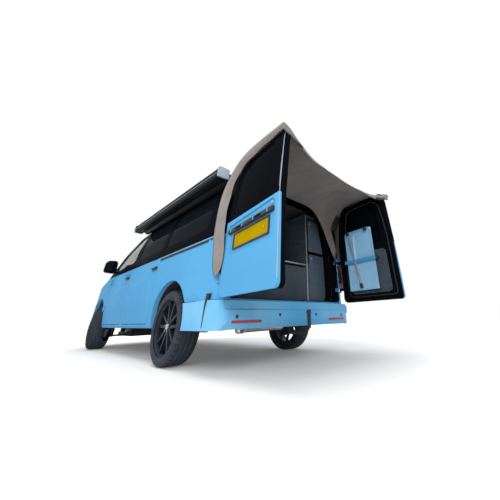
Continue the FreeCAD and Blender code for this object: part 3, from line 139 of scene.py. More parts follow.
# the rear doors' own frame: modelled shut on the tail, then carried round with the open door
doorLook = {
    "hinge": (-1.9482, 0.905),
    "openLeft": 98.0,
    "openRight": 82.0,
    "face": -1.98,
    "skinOut": 0.0058,
    "lean": [(0.5, 0.0), (0.85, 0.0), (1.2, 0.008), (1.3, 0.015), (1.4, 0.022), (1.5, 0.03), (1.6, 0.037),
             (1.7, 0.048), (1.75, 0.061), (1.8, 0.075)],
}


def hingePin(side):
    return Vector((doorLook["hinge"][0], side * doorLook["hinge"][1], 0.0))


def doorTurn(side):
    pin = Matrix.Translation(hingePin(side))
    degrees = doorLook["openLeft"] if side > 0 else -doorLook["openRight"]
    return pin @ Matrix.Rotation(math.radians(-degrees), 4, "Z") @ pin.inverted()


def leanAt(z):
    table = doorLook["lean"]
    for (low, first), (high, last) in zip(table, table[1:]):
        if z <= high:
            return first + (last - first) * max(0.0, (z - low) / (high - low))
    return table[-1][1]


def openDoorPoint(side, across, out, z):
    return doorTurn(side) @ Vector((doorLook["face"] - out + leanAt(z), side * across, z))


# materials, kept by their names
surfaces = {}


def newSurface(name, colour, roughness, metallic=0.0, specular=0.5):
    surface = bpy.data.materials.new(name)
    surface.use_nodes = True
    surfaces[name] = surface
    tree = surface.node_tree
    shader = tree.nodes["Principled BSDF"]
    shader.inputs["Base Color"].default_value = (*colour, 1)
    shader.inputs["Roughness"].default_value = roughness
    shader.inputs["Metallic"].default_value = metallic
    shader.inputs["Specular IOR Level"].default_value = specular
    return shader, addNode(tree, "ShaderNodeTexCoord").outputs["Object"]


def addNode(tree, kind, inputs=(), **settings):
    node = tree.nodes.new(kind)
    for key, value in settings.items():
        setattr(node, key, value)
    for socket, value in dict(inputs).items():
        if isinstance(value, bpy.types.NodeSocket):
            tree.links.new(value, node.inputs[socket])
        else:
            node.inputs[socket].default_value = value
    return node


def feed(shader, name, socket):
    shader.id_data.links.new(socket, shader.inputs[name])


def grain(place, scale, detail=4.0, roughness=0.55, stretch=None):
    tree = place.id_data
    if stretch:
        place = addNode(tree, "ShaderNodeMapping", {"Vector": place, "Scale": stretch}).outputs["Vector"]
    return addNode(tree, "ShaderNodeTexNoise",
                   {"Vector": place, "Scale": scale, "Detail": detail, "Roughness": roughness}).outputs["Fac"]


def spanned(value, low, high, outLow=0.0, outHigh=1.0):
    inputs = {"Value": value, "From Min": low, "From Max": high, "To Min": outLow, "To Max": outHigh}
    return addNode(value.id_data, "ShaderNodeMapRange", inputs).outputs["Result"]


def mixed(share, first, second):
    ends = [value if isinstance(value, bpy.types.NodeSocket) else (*value, 1) for value in (first, second)]
    inputs = {0: share, 6: ends[0], 7: ends[1]}
    return addNode(share.id_data, "ShaderNodeMix", inputs, data_type="RGBA").outputs[2]


def sums(operation, first, second=0.0):
    return addNode(first.id_data, "ShaderNodeMath", {0: first, 1: second}, operation=operation).outputs[0]


def raised(shader, heights):
    # heights: (socket, strength, distance) one over the other
    normal = None
    for height, strength, distance in heights:
        inputs = {"Height": height, "Strength": strength, "Distance": distance}
        if normal:
            inputs["Normal"] = normal
        normal = addNode(shader.id_data, "ShaderNodeBump", inputs).outputs["Normal"]
    feed(shader, "Normal", normal)


# shared by the materials: how uneven the gloss is, and a low refraction value that keeps
# the pale studio out of the black paint and the dark glass
commonLook = {"glossSpread": 0.08, "glossScale": 3.1, "grainStrength": 0.16, "lowLens": 1.03}


def plainFinish(name, light, dark, roughness, scale, fine, depth, metallic=0.0, specular=0.5):
    # mottled colour, uneven gloss and a fine surface grain
    shader, place = newSurface(name, light, roughness, metallic, specular)
    cloud = spanned(grain(place, scale, 5.0), 0.35, 0.65)
    feed(shader, "Base Color", mixed(cloud, light, dark))
    gloss, spread = grain(place, scale * commonLook["glossScale"]), commonLook["glossSpread"]
    feed(shader, "Roughness", spanned(gloss, 0.3, 0.7, roughness - spread, roughness + spread))
    raised(shader, [(grain(place, fine, 2.0), commonLook["grainStrength"], depth)])


paintLook = {
    "blue": (0.102, 0.362, 0.63),
    "faded": (0.2, 0.49, 0.74),
    "blueDeep": (0.088, 0.328, 0.59),
    "black": (0.0032, 0.004, 0.006),
    "dust": (0.26, 0.4, 0.48),
    "sideLine": 1.108,
    "tailLine": 1.168,
    "noLine": 3.0,
    "lineFade": 0.0008,
    "dustHeights": (0.3, 0.7),
    "spatterScale": 46.0,
    "spatter": 0.45,
    "gloss": (0.2, 0.34),
    "specular": 0.3,
    "recess": ((0.831, 0.8325, 1.0, 0.0), (-1.968, -1.966, 0.0, 1.0), (-1.79, -1.78, 1.0, 0.0),
               (0.556, 0.558, 0.0, 1.0)),
}


def axesOf(place):
    return addNode(place.id_data, "ShaderNodeSeparateXYZ", {"Vector": place}).outputs


def paintFinish(name, lineHeight, hidden=None, tone="blue", deep="blueDeep"):
    # light blue below the line, black above it and where the hidden mask is 1, dusty low down
    look = paintLook
    shader, place = newSurface(name, look[tone], 0.3, 0.0, look["specular"])
    height, fade = axesOf(place)["Z"], look["lineFade"]
    above = spanned(height, lineHeight - fade, lineHeight + fade)
    if hidden:
        above = sums("MAXIMUM", above, hidden(place))
    cloud = spanned(grain(place, 1.3, 3.0), 0.3, 0.7)
    blue = mixed(cloud, look[tone], look[deep])
    low = spanned(height, *look["dustHeights"], 1.0, 0.0)
    spatter = grain(place, look["spatterScale"], 6.0, 0.7)
    spatter = spanned(spatter, 0.55, 0.75, 0.0, look["spatter"])
    dusty = mixed(sums("MULTIPLY", low, spatter), blue, look["dust"])
    feed(shader, "Base Color", mixed(above, dusty, look["black"]))
    feed(shader, "Roughness", spanned(grain(place, 9.0), 0.3, 0.7, *look["gloss"]))
    shader.inputs["IOR"].default_value = commonLook["lowLens"]
    raised(shader, [(grain(place, 900.0, 1.0), 0.01, 0.00005), (grain(place, 2.2, 1.0), 0.03, 0.002)])


def insideOfDoor(side):
    # the frame and inner faces of an open rear door: all that lies deeper than its skin
    outward = doorTurn(side).to_3x3() @ Vector((-1, 0, 0))
    skin = hingePin(side).dot(outward) + doorLook["skinOut"]

    def mask(place):
        inputs = {0: place, 1: tuple(outward)}
        depth = addNode(place.id_data, "ShaderNodeVectorMath", inputs, operation="DOT_PRODUCT")
        return spanned(depth.outputs["Value"], skin - 0.001, skin, 1.0, 0.0)
    return mask


def tailRecessShade(place):
    # the recess that the rear doors shut into, with its seal faces, painted black as shade on its body-colour
    # posts
    axes = axesOf(place)
    values = (sums("ABSOLUTE", axes["Y"]), axes["X"], axes["X"], axes["Z"])
    first, *others = (spanned(value, *ramp) for value, ramp in zip(values, paintLook["recess"]))
    for other in others:
        first = sums("MULTIPLY", first, other)
    return first


def glassFinish(name, colour, clear, roughness=0.015, specular=0.5, lens=1.3):
    # tinted glass under a thin uneven film
    shader, place = newSurface(name, colour, roughness, 0.0, specular)
    shader.inputs["Transmission Weight"].default_value = clear
    shader.inputs["IOR"].default_value = lens
    film = grain(place, 6.0, 6.0, 0.7)
    feed(shader, "Roughness", spanned(film, 0.45, 0.75, roughness, roughness + 0.09))
    cloud = spanned(grain(place, 2.0), 0.3, 0.7)
    feed(shader, "Base Color", mixed(cloud, colour, tuple(c * 0.8 for c in colour)))
    raised(shader, [(grain(place, 1.5, 1.0), 0.05, 0.002)])


def weaveHeight(tree, threads):
    # over and under threads on the piece's own UV map, in metres
    uv = addNode(tree, "ShaderNodeTexCoord").outputs["UV"]
    wave = {"Vector": uv, "Scale": threads / 6.28, "Distortion": 0.4, "Detail": 1.0}
    waves = [addNode(tree, "ShaderNodeTexWave", wave, bands_direction=way).outputs["Fac"] for way in "XY"]
    return sums("MAXIMUM", *waves)


def clothFinish(name, light, dark, roughness=0.82, threads=620.0, hem=None, edge="hem"):
    # woven threads, faded in clouds and streaks, painted near-black as shade where the edge attribute is 1
    shader, place = newSurface(name, light, roughness, 0.0, 0.3)
    tree = shader.id_data
    height = weaveHeight(tree, threads)
    cloud = spanned(grain(place, 2.2, 6.0, 0.6), 0.3, 0.7, 0.0, 0.75)
    streak = spanned(grain(place, 9.0, 3.0, 0.5, (0.35, 1, 1)), 0.35, 0.7, 0.0, 0.35)
    tone = mixed(sums("ADD", cloud, streak), light, dark)
    # darker where the weave is low: painted shade in its hollows
    thread = mixed(spanned(height, 0.2, 0.9, 0.28, 0.0), tone, tuple(c * 0.55 for c in dark))
    if hem:
        share = addNode(tree, "ShaderNodeAttribute", attribute_name=edge).outputs["Fac"]
        thread = mixed(share, thread, hem)
    feed(shader, "Base Color", thread)
    feed(shader, "Roughness", spanned(cloud, 0.0, 1.0, roughness - 0.1, roughness + 0.05))
    shader.inputs["Sheen Weight"].default_value = 0.15
    shader.inputs["Sheen Roughness"].default_value = 0.45
    raised(shader, [(height, 0.4, 0.0004), (grain(place, 16.0, 3.0), 0.25, 0.004)])


def carpetFinish(name, light, dark):
    # tufts over a worn ground, with painted shade in the gaps between the tufts
    shader, place = newSurface(name, light, 0.95, 0.0, 0.15)
    tuft = grain(place, 420.0, 3.0, 0.7)
    cloud = grain(place, 5.0, 5.0)
    tone = mixed(spanned(cloud, 0.3, 0.7), light, dark)
    tuftShade = spanned(tuft, 0.35, 0.6, 0.5, 0.0)
    feed(shader, "Base Color", mixed(tuftShade, tone, tuple(c * 0.5 for c in dark)))
    shader.inputs["Sheen Weight"].default_value = 0.25
    raised(shader, [(tuft, 0.6, 0.0015), (cloud, 0.2, 0.006)])


def boardFinish(name, light, dark):
    # a fibrous board
    shader, place = newSurface(name, light, 0.5, 0.0, 0.4)
    fibre = grain(place, 14.0, 6.0, 0.6, (0.12, 1.6, 1.6))
    feed(shader, "Base Color", mixed(spanned(fibre, 0.35, 0.65), light, dark))
    feed(shader, "Roughness", spanned(grain(place, 4.0), 0.3, 0.7, 0.42, 0.6))
    raised(shader, [(fibre, 0.3, 0.0008)])


paintFinish("sidePaint", paintLook["sideLine"])
# the shell's tail recess is painted black as shade
paintFinish("shellPaint", paintLook["sideLine"], tailRecessShade)
paintFinish("leftDoorPaint", paintLook["tailLine"], insideOfDoor(1))
paintFinish("rightDoorPaint", paintLook["tailLine"], insideOfDoor(-1))
paintFinish("cabPaint", paintLook["noLine"])
# lighter blue on the rear bumper: partly faded plastic, partly painted light from the floor
paintFinish("bumperPaint", paintLook["noLine"], None, "faded", "blue")

# colour, share that is clear, roughness, specular, refraction
glassLook = {
    "darkGlass": ((0.007, 0.01, 0.014), 0.06, 0.015, 0.4, commonLook["lowLens"]),
    "tailGlass": ((0.003, 0.004, 0.0055), 0.04, 0.015, 0.4, commonLook["lowLens"]),
    "cabGlass": ((0.32, 0.4, 0.37), 0.9),
    "lampClear": ((0.86, 0.9, 0.92), 0.85),
    "lampRed": ((0.4, 0.012, 0.016), 0.35, 0.06),
}
# light and dark tone, roughness, scale of the mottling, scale of the grain, its depth, metallic, specular
plainLook = {
    "blackMetal": ((0.016, 0.018, 0.02), (0.024, 0.026, 0.029), 0.38, 4, 240, 0.0006),
    "underSeal": ((0.012, 0.012, 0.013), (0.022, 0.02, 0.019), 0.72, 7, 90, 0.003),
    "blackPlastic": ((0.014, 0.015, 0.016), (0.022, 0.023, 0.025), 0.55, 6, 420, 0.0008),
    "greyPlastic": ((0.26, 0.27, 0.29), (0.2, 0.21, 0.23), 0.5, 9, 420, 0.0006),
    "rubber": ((0.022, 0.029, 0.04), (0.034, 0.043, 0.056), 0.8, 14, 160, 0.0012, 0.0, 0.3),
    "rimBlack": ((0.009, 0.014, 0.023), (0.013, 0.02, 0.031), 0.42, 8, 190, 0.0003, 0.0, 0.12),
    "castMetal": ((0.09, 0.088, 0.085), (0.05, 0.046, 0.042), 0.62, 22, 70, 0.0016, 0.8),
    "dullSteel": ((0.42, 0.41, 0.39), (0.3, 0.27, 0.23), 0.4, 16, 260, 0.0005, 1.0),
    "brightSteel": ((0.62, 0.63, 0.64), (0.5, 0.51, 0.52), 0.24, 16, 260, 0.0003, 1.0),
    "tableBlue": ((0.27, 0.52, 0.74), (0.23, 0.47, 0.69), 0.42, 5, 300, 0.0005),
    "strapBlue": ((0.06, 0.32, 0.62), (0.045, 0.26, 0.52), 0.7, 30, 700, 0.001),
    "plateYellow": ((0.4, 0.265, 0.002), (0.36, 0.24, 0.002), 0.5, 6, 900, 0.0002, 0.0, 0.0),
    "reflectorRed": ((0.36, 0.008, 0.012), (0.28, 0.006, 0.01), 0.22, 30, 500, 0.001),
    "sealRubber": ((0.009, 0.0095, 0.01), (0.016, 0.016, 0.017), 0.66, 20, 300, 0.0008),
    "paleTrim": ((0.55, 0.56, 0.56), (0.42, 0.43, 0.44), 0.35, 30, 300, 0.0006, 0.6),
    "silverTrim": ((0.34, 0.41, 0.48), (0.31, 0.38, 0.45), 0.42, 3, 1500, 0.00005, 0.35),
    "awningBlack": ((0.006, 0.0075, 0.0095), (0.009, 0.011, 0.013), 0.5, 4, 240, 0.0004, 0.0, 0.04),
}
clothShadeBlack = (0.012, 0.012, 0.013)
for name, values in glassLook.items():
    glassFinish(name, *values)
for name, values in plainLook.items():
    plainFinish(name, *values)
carpetFinish("carpet", (0.058, 0.08, 0.104), (0.038, 0.053, 0.07))
boardFinish("darkBoard", (0.07, 0.1, 0.132), (0.048, 0.07, 0.094))
clothFinish("canopyOuter", (0.25, 0.225, 0.213), (0.19, 0.17, 0.16), hem=clothShadeBlack)
# the underside is the outer cloth darkened: painted shade
clothFinish("canopyInnerShaded", (0.135, 0.126, 0.122), (0.108, 0.1, 0.097), hem=clothShadeBlack, edge="clothShadeInside")
clothFinish("seatCloth", (0.045, 0.047, 0.05), (0.028, 0.029, 0.031), 0.88, 420.0)

nodesWith = {
    "shellPaint": "body_shell",
    "sidePaint": "sliding_door front_door_left front_door_right",
    "cabPaint": "bonnet front_bumper",
    "bumperPaint": "rear_bumper",
    "leftDoorPaint": "rear_door_left",
    "rightDoorPaint": "rear_door_right",
    "cabGlass": "windscreen front_glass_left front_glass_right",
    "darkGlass": "side_glass",
    "tailGlass": "rear_glass_left rear_glass_right",
    "lampClear": "headlamps",
    "lampRed": "tail_lamps",
    "blackPlastic": "grille dashboard wipers",
    "greyPlastic": "hookup_inlet",
    "awningBlack": "awning_cassette",
    "underSeal": "floor_pan front_subframe rear_axle tow_bar",
    "castMetal": "engine_block knuckle_left knuckle_right",
    "dullSteel": "exhaust",
    "darkBoard": "bed_platform cabinet",
    "carpet": "side_lining",
    "seatCloth": "front_seats",
    "tableBlue": "camping_table",
    "plateYellow": "number_plate",
    "canopyOuter": "canopy_left canopy_right",
    "rubber": "tyre_front_left tyre_front_right tyre_rear_left tyre_rear_right",
    "rimBlack": "rim_front_left rim_front_right rim_rear_left rim_rear_right",
}
for surface, names in nodesWith.items():
    for name in names.split():
        cadNodes[name].data.materials.clear()
        cadNodes[name].data.materials.append(surfaces[surface])
print("materials on", sum(len(names.split()) for names in nodesWith.values()), "nodes")


# canopy: two halves of coated cloth, laid over the open doors and laced down both hinge gaps
canopyCut = {
    "attach": [(0.0, 1.795), (0.22, 1.795), (0.36, 1.795), (0.5, 1.794), (0.62, 1.792), (0.69, 1.765),
               (0.745, 1.66), (0.79, 1.52), (0.82, 1.38), (0.836, 1.2), (0.87, 1.0), (0.90, 0.88)],
    "header": [(-1.962, 0.0, 1.742), (-1.962, 0.22, 1.74), (-1.962, 0.36, 1.715), (-1.962, 0.47, 1.64),
               (-1.962, 0.56, 1.53), (-1.964, 0.64, 1.38), (-1.97, 0.72, 1.22), (-1.978, 0.80, 1.08),
               (-1.978, 0.875, 0.98), (-1.965, 0.93, 0.87), (-1.94, 0.953, 0.79), (-1.925, 0.955, 0.72)],
    "outer": [(-1.925, 0.955, 0.72), (-1.885, 0.957, 0.80), (-1.865, 0.958, 0.90), (-1.845, 0.958, 1.02),
              (-1.83, 0.958, 1.14), (-1.85, 0.958, 1.385), (-1.91, 0.958, 1.56), (-2.03, 0.962, 1.70),
              (-2.16, 0.968, 1.79), (-2.33, 0.978, 1.832), (-2.585, 1.005, 1.828), (-2.80, 1.035, 1.80),
              (-2.862, 1.045, 1.79)],
    "inner": [(-1.995, 0.957, 0.735), (-2.042, 0.961, 0.80), (-2.05, 0.965, 0.92), (-2.04, 0.965, 1.03),
              (-2.015, 0.962, 1.16), (-2.017, 0.955, 1.33), (-2.046, 0.947, 1.50), (-2.112, 0.945, 1.63),
              (-2.235, 0.954, 1.712), (-2.38, 0.966, 1.742), (-2.61, 0.994, 1.752), (-2.80, 1.018, 1.748),
              (-2.858, 1.026, 1.743)],
    "rearLeft": [(-2.722, 0.0, 1.71), (-2.735, 0.2, 1.705), (-2.745, 0.36, 1.70), (-2.78, 0.59, 1.69),
                 (-2.805, 0.765, 1.74)],
    "rearRight": [(-2.722, 0.0, 1.71), (-2.73, -0.2, 1.71), (-2.755, -0.42, 1.718), (-2.79, -0.62, 1.74)],
    "centre": [(-1.962, 0.0, 1.742), (-2.33, 0.0, 1.738), (-2.722, 0.0, 1.71)],
    "across": 44, "along": 48, "curtain": 4, "lap": 7,
    "turnFrom": -1.96, "turnOver": 0.06,
    "swell": 0.010, "ripple": 0.003, "ripples": 41.0, "easeIn": 8,
    "valance": 0.075, "valanceLeast": 0.012, "valanceFrom": 0.4, "valanceRows": 6,
    "crease": 0.010, "creases": 9.0, "curl": 0.014,
    "sag": 0.004, "pucker": 0.006, "puckers": 34.0, "puckerReach": 0.05,
    "shadeBelow": (1.72, 0.02), "shadeFrom": (0.735, 0.012),
    "column": 0.026,
    "thick": 0.0016,
}


def clamped(value):
    return min(max(value, 0.0), 1.0)


def catmull(points, share):
    # a point at a share of a smooth line's length through the points
    points = [Vector(p) for p in points]
    lengths = [0.0]
    for a, b in zip(points, points[1:]):
        lengths.append(lengths[-1] + (b - a).length)
    want = clamped(share) * lengths[-1]
    i = max(k for k in range(len(points) - 1) if lengths[k] <= want + 1e-9)
    t = (want - lengths[i]) / max(lengths[i + 1] - lengths[i], 1e-9)
    p0 = points[i - 1] if i else points[0] * 2 - points[1]
    p1, p2 = points[i], points[i + 1]
    p3 = points[i + 2] if i + 2 < len(points) else points[-1] * 2 - points[-2]
    return 0.5 * ((2 * p1) + (p2 - p0) * t + (2 * p0 - 5 * p1 + 4 * p2 - p3) * t * t
                  + (3 * p1 - p0 - 3 * p2 + p3) * t * t * t)


def besideDoor(side, places):
    # the left door's edge points, or their mirror turned in with the less open right door
    if side > 0:
        return [Vector(p) for p in places]
    spare = math.radians(doorLook["openLeft"] - doorLook["openRight"])
    pin = hingePin(side)
    found = []
    for x, y, z in places:
        share = clamped((canopyCut["turnFrom"] - x) / canopyCut["turnOver"])
        found.append(pin + Matrix.Rotation(-spare * share, 3, "Z") @ (Vector((x, -y, z)) - pin))
    return found


def faceOf(node):
    mesh = cadNodes[node].data
    return BVHTree.FromPolygons([v.co for v in mesh.vertices], [p.vertices for p in mesh.polygons])


bodyFace = faceOf("body_shell")


def tailPoint(y, z, clear=0.003):
    # a point on the tail's outer face, found from behind
    found = bodyFace.ray_cast(Vector((-3.0, y, z)), Vector((1, 0, 0)))[0]
    return Vector((found.x - clear if found else -1.93, y, z))


def canopyGrid(side):
    # rows of points: a curtain down from the tail, then a patch from the header to the rear edge
    cut = canopyCut
    across, along = cut["across"], cut["along"]
    header = [Vector((x, side * y, z)) for x, y, z in cut["header"]]
    attach = [tailPoint(side * y, z) for y, z in cut["attach"]] + header[-2:]
    outer = besideDoor(side, cut["outer"])
    rear = [Vector(p) for p in (cut["rearLeft"] if side > 0 else cut["rearRight"])] + [outer[-1]]
    patch = []
    for i in range(along + 1):
        s = i / along
        row = []
        for j in range(across + 1):
            t = j / across
            corner = (header[0] * ((1 - s) * (1 - t)) + header[-1] * ((1 - s) * t)
                      + rear[0] * (s * (1 - t)) + rear[-1] * (s * t))
            row.append(catmull(header, t) * (1 - s) + catmull(rear, t) * s
                       + catmull(cut["centre"], s) * (1 - t) + catmull(outer, s) * t - corner)
        patch.append(row)
    curtain = []
    for k in range(cut["curtain"]):
        u = k / cut["curtain"]
        curtain.append([catmull(attach, j / across) * (1 - u) + patch[0][j] * u for j in range(across + 1)])
    return curtain + patch


def addLap(grid, side):
    # each row goes on round the door's edge
    cut = canopyCut
    inner = besideDoor(side, cut["inner"])
    outward = (openDoorPoint(side, 0.4, 1.0, 1.0) - openDoorPoint(side, 0.4, 0.0, 1.0)).normalized()
    for i, row in enumerate(grid):
        s = max(0.0, (i - cut["curtain"]) / cut["along"])
        edge, hemPoint, ease = row[-1], catmull(inner, s), min(1.0, s * cut["easeIn"])
        for k in range(1, cut["lap"] + 1):
            u = k / cut["lap"]
            swell = cut["swell"] * math.sin(u * math.pi) + cut["ripple"] * math.sin(s * cut["ripples"]) * u
            row.append(edge.lerp(hemPoint, u) + outward * swell * ease)


def addValance(grid):
    # the rear edge hangs down, more so toward the side, and flattens on the lap
    cut, last = canopyCut, grid[-1]
    for k in range(1, cut["valanceRows"] + 1):
        u = k / cut["valanceRows"]
        row = []
        for j, place in enumerate(last):
            t = min(j / cut["across"], 1.0)
            free = 1.0 - max(0.0, (j - cut["across"]) / cut["lap"])
            beyond = max(0.0, (t - cut["valanceFrom"]) / (1.0 - cut["valanceFrom"]))
            deep = cut["valance"] * beyond ** 0.8 + cut["valanceLeast"]
            crease = cut["crease"] * math.sin(u * math.pi * 2.0 + t * cut["creases"]) * beyond
            curl = cut["curl"] * math.sin(min(u * 3.0, 1.0) * math.pi / 2)
            row.append(place + Vector(((crease - curl) * free, 0, -deep * u * free)))
        grid.append(row)


def canopyHalf(side, word):
    cut = canopyCut
    grid = canopyGrid(side)
    addLap(grid, side)
    addValance(grid)
    points, uvs, clothShades, inside = [], [], [], []
    for i, row in enumerate(grid):
        s = clamped((i - cut["curtain"]) / cut["along"])
        for j, p in enumerate(row):
            t = min(j / cut["across"], 1.0)
            above = 1.0 if j <= cut["across"] else 0.0
            sag = cut["sag"] * math.sin(math.pi * t) * math.sin(math.pi * s)
            sag *= noise.noise(Vector((p.x * 2.0, p.y * 9.0, side * 3.0)))
            pull = math.exp(-((1 - s) ** 2 + (1 - t) ** 2) / cut["puckerReach"]) * above
            pucker = cut["pucker"] * math.sin((1 - t) * cut["puckers"] + s * 5.0) * pull
            points.append(p + Vector((0, 0, sag + pucker)))
            uvs.append((p.x, side * j * cut["column"]))
            # painted shade: the cloth below 1.72 m near its outer edge, down the hinge gap, is near-black; on
            # the right the lap's inside too
            low = clamped((cut["shadeBelow"][0] - p.z) / cut["shadeBelow"][1])
            near = clamped((t - cut["shadeFrom"][0]) / cut["shadeFrom"][1])
            clothShades.append(low * near * above)
            inside.append(low * near if side < 0 else clothShades[-1])
    wide = len(grid[0])
    faces = []
    for i in range(len(grid) - 1):
        for j in range(wide - 1):
            a, b, c, d = i * wide + j, i * wide + j + 1, (i + 1) * wide + j + 1, (i + 1) * wide + j
            faces.append((a, d, c, b) if side < 0 else (a, b, c, d))
    name = "canopyCloth" + word.capitalize()
    cloth = meshPiece(name, points, faces)
    layer = cloth.data.uv_layers.new(name="cutPattern")
    for loop in cloth.data.loops:
        layer.data[loop.index].uv = uvs[loop.vertex_index]
    for layerName, values in (("hem", clothShades), ("clothShadeInside", inside)):
        shadeLayer = cloth.data.attributes.new(layerName, "FLOAT", "POINT")
        for index, value in enumerate(values):
            shadeLayer.data[index].value = value
    thick = cloth.modifiers.new("cloth", "SOLIDIFY")
    thick.thickness = cut["thick"]
    thick.offset = 0.0
    thick.material_offset = 1
    applyModifiers(cloth)
    finish(cloth, name, ("canopyOuter", "canopyInnerShaded"), "vehicle_body", 60)
    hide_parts("canopy_" + word)
    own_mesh(cloth)


canopyHalf(1, "left")
canopyHalf(-1, "right")
print("canopy laid")


# shapes for the small parts: each is made in its own plane, then put in its place
def flat(wide, high):
    clearSelection()
    bpy.ops.mesh.primitive_plane_add(size=1)
    piece = active()
    piece.scale = (wide, high, 1)
    settle(piece)
    return piece


def drawOut(offset):
    bpy.ops.mesh.extrude_region_move(TRANSFORM_OT_translate={"value": offset})
    mode("OBJECT")


def openFaces(piece, chosen):
    # edit mode with only the chosen faces selected
    pickOnly(piece)
    bpy.context.tool_settings.mesh_select_mode = (False, False, True)
    mode("EDIT")
    bpy.ops.mesh.select_all(action="DESELECT")
    mode("OBJECT")
    for polygon in piece.data.polygons:
        polygon.select = chosen(polygon)
    mode("EDIT")


def slab(wide, high, thick, radius=0.0, edge=0.0, hollow=0.0):
    # a rounded plate, or a ring of the hollow's width
    piece = flat(wide, high)
    openAll(piece)
    if radius:
        bpy.ops.mesh.bevel(offset=radius, segments=6, affect="VERTICES")
        bpy.ops.mesh.select_all(action="SELECT")
    if hollow:
        bpy.ops.mesh.inset(thickness=hollow)
        bpy.ops.mesh.delete(type="FACE")
        bpy.ops.mesh.select_all(action="SELECT")
    drawOut((0, 0, thick))
    turnOutward(piece)
    if edge:
        soften(piece, edge, 2, 40)
    return piece


def prism(name, corners, offset):
    # a flat outline drawn out along the offset
    piece = meshPiece(name, corners, [tuple(range(len(corners)))])
    openAll(piece)
    drawOut(offset)
    turnOutward(piece)
    return piece


def drum(radius, deep, edge=0.0, sides=32):
    clearSelection()
    bpy.ops.mesh.primitive_cylinder_add(vertices=sides, radius=radius, depth=deep, location=(0, 0, deep / 2))
    piece = active()
    settle(piece)
    if edge:
        soften(piece, edge, 3, 50)
    return piece


def hoop(radius, wall, sides=40):
    clearSelection()
    bpy.ops.mesh.primitive_torus_add(major_radius=radius, minor_radius=wall,
                                     major_segments=sides, minor_segments=10)
    return active()


def rod(points, radius, closed=False):
    line = bpy.data.curves.new("rod", "CURVE")
    line.dimensions = "3D"
    line.bevel_depth = radius
    line.bevel_resolution = 3
    line.use_fill_caps = True
    path = line.splines.new("POLY")
    path.points.add(len(points) - 1)
    for point, place in zip(path.points, points):
        point.co = (*place, 1)
    path.use_cyclic_u = closed
    pickOnly(linked(bpy.data.objects.new("rod", line)))
    bpy.ops.object.convert(target="MESH")
    piece = active()
    turnOutward(piece)
    return piece


# directions across and up of a piece that faces backward, forward or left
backward = ((0, -1, 0), (0, 0, 1))
forward = ((0, 1, 0), (0, 0, 1))
leftward = ((-1, 0, 0), (0, 0, 1))


def put(piece, place, across, up):
    x = Vector(across).normalized()
    z = x.cross(Vector(up)).normalized()
    y = z.cross(x)
    piece.matrix_world = Matrix.Translation(place) @ Matrix((x, y, z)).transposed().to_4x4()
    settle(piece)
    return piece


def onDoor(piece, side, across, z, out=0.0, inside=False):
    # laid on an open rear door, its face outward, or inward on the inner face
    place = openDoorPoint(side, across, out, z)
    up = openDoorPoint(side, across, out, z + 0.05) - openDoorPoint(side, across, out, z - 0.05)
    along = openDoorPoint(side, across + 0.1, out, z) - place
    return put(piece, place, -along if (side > 0) != inside else along, up)


def dress(side, rows, inside=False):
    # pieces on an open rear door, each row: shape, its size, spots of (across, height, out), surface
    for name, (shape, size, spots, surface) in rows.items():
        for index, spot in enumerate(spots):
            piece = onDoor(shape(*size), side, *spot, inside)
            word = name + str(index) if len(spots) > 1 else name
            finish(piece, word, surface, "tail_door_left" if side > 0 else "tail_door_right")


def twin(piece, name, surface, body="vehicle_body", mirrorBody=None):
    # a piece on the left and its mirror image on the right
    other = copyOf(piece)
    finish(piece, name + "Left", surface, body)
    other.matrix_world = Matrix.Scale(-1, 4, (0, 1, 0))
    settle(other)
    turnOutward(other)
    finish(other, name + "Right", surface, mirrorBody or body)


def fit(rows, both=False):
    # pieces on the body that face backward, each row: shape, its size, place, surface
    for name, (shape, size, place, surface) in rows.items():
        (twin if both else finish)(put(shape(*size), place, *backward), name, surface)


def pressed(piece, target, axis, clear, thick):
    # a flat patch laid on another piece's curved face
    openAll(piece)
    bpy.ops.mesh.subdivide(number_cuts=8)
    mode("OBJECT")
    wrap = piece.modifiers.new("laid", "SHRINKWRAP")
    wrap.target = target
    wrap.wrap_method = "PROJECT"
    wrap.use_project_x, wrap.use_project_y, wrap.use_project_z = (k == axis for k in "xyz")
    wrap.use_positive_direction = wrap.use_negative_direction = True
    wrap.project_limit = 0.15
    wrap.offset = clear
    wall = piece.modifiers.new("wall", "SOLIDIFY")
    wall.thickness = thick
    wall.offset = 1.0
    applyModifiers(piece)
    turnOutward(piece)
    return piece


# slab sizes below: wide, high, thick, corner radius, soft edge, ring width
# drum sizes: radius, depth, soft edge, sides

# awning: rail to the roof, silver ends, seam and front bar
awningLook = {
    "rear": -1.75,
    "front": 0.938,
    "rail": [(0.846, 1.892), (0.846, 1.80), (0.80, 1.772), (0.765, 1.775), (0.70, 1.84), (0.66, 1.872),
             (0.70, 1.876)],
    "railShort": 0.03,
    "cap": (0.142, 0.13, 0.022, 0.024, 0.005),
    "capCentre": (0.913, 1.841),
    "capClear": 0.001,
    "lines": {"awningSeam": (0.9785, 1.832, 0.0028, "silverTrim"),
              "awningFrontBar": (0.972, 1.806, 0.004, "blackPlastic")},
}
rear, front, short = awningLook["rear"], awningLook["front"], awningLook["railShort"]
railPiece = prism("awningRail", [(rear + short, y, z) for y, z in awningLook["rail"]],
                  (front - rear - 2 * short, 0, 0))
soften(railPiece, 0.003)
finish(railPiece, "awningRail", "awningBlack")
for name, x, facing in (("Rear", rear - awningLook["capClear"], backward),
                        ("Front", front + awningLook["capClear"], forward)):
    cap = put(slab(*awningLook["cap"]), (x, *awningLook["capCentre"]), *facing)
    finish(cap, "awningEnd" + name, "silverTrim")
for name, (y, z, radius, surface) in awningLook["lines"].items():
    finish(rod([(rear, y, z), (front, y, z)], radius), name, surface)

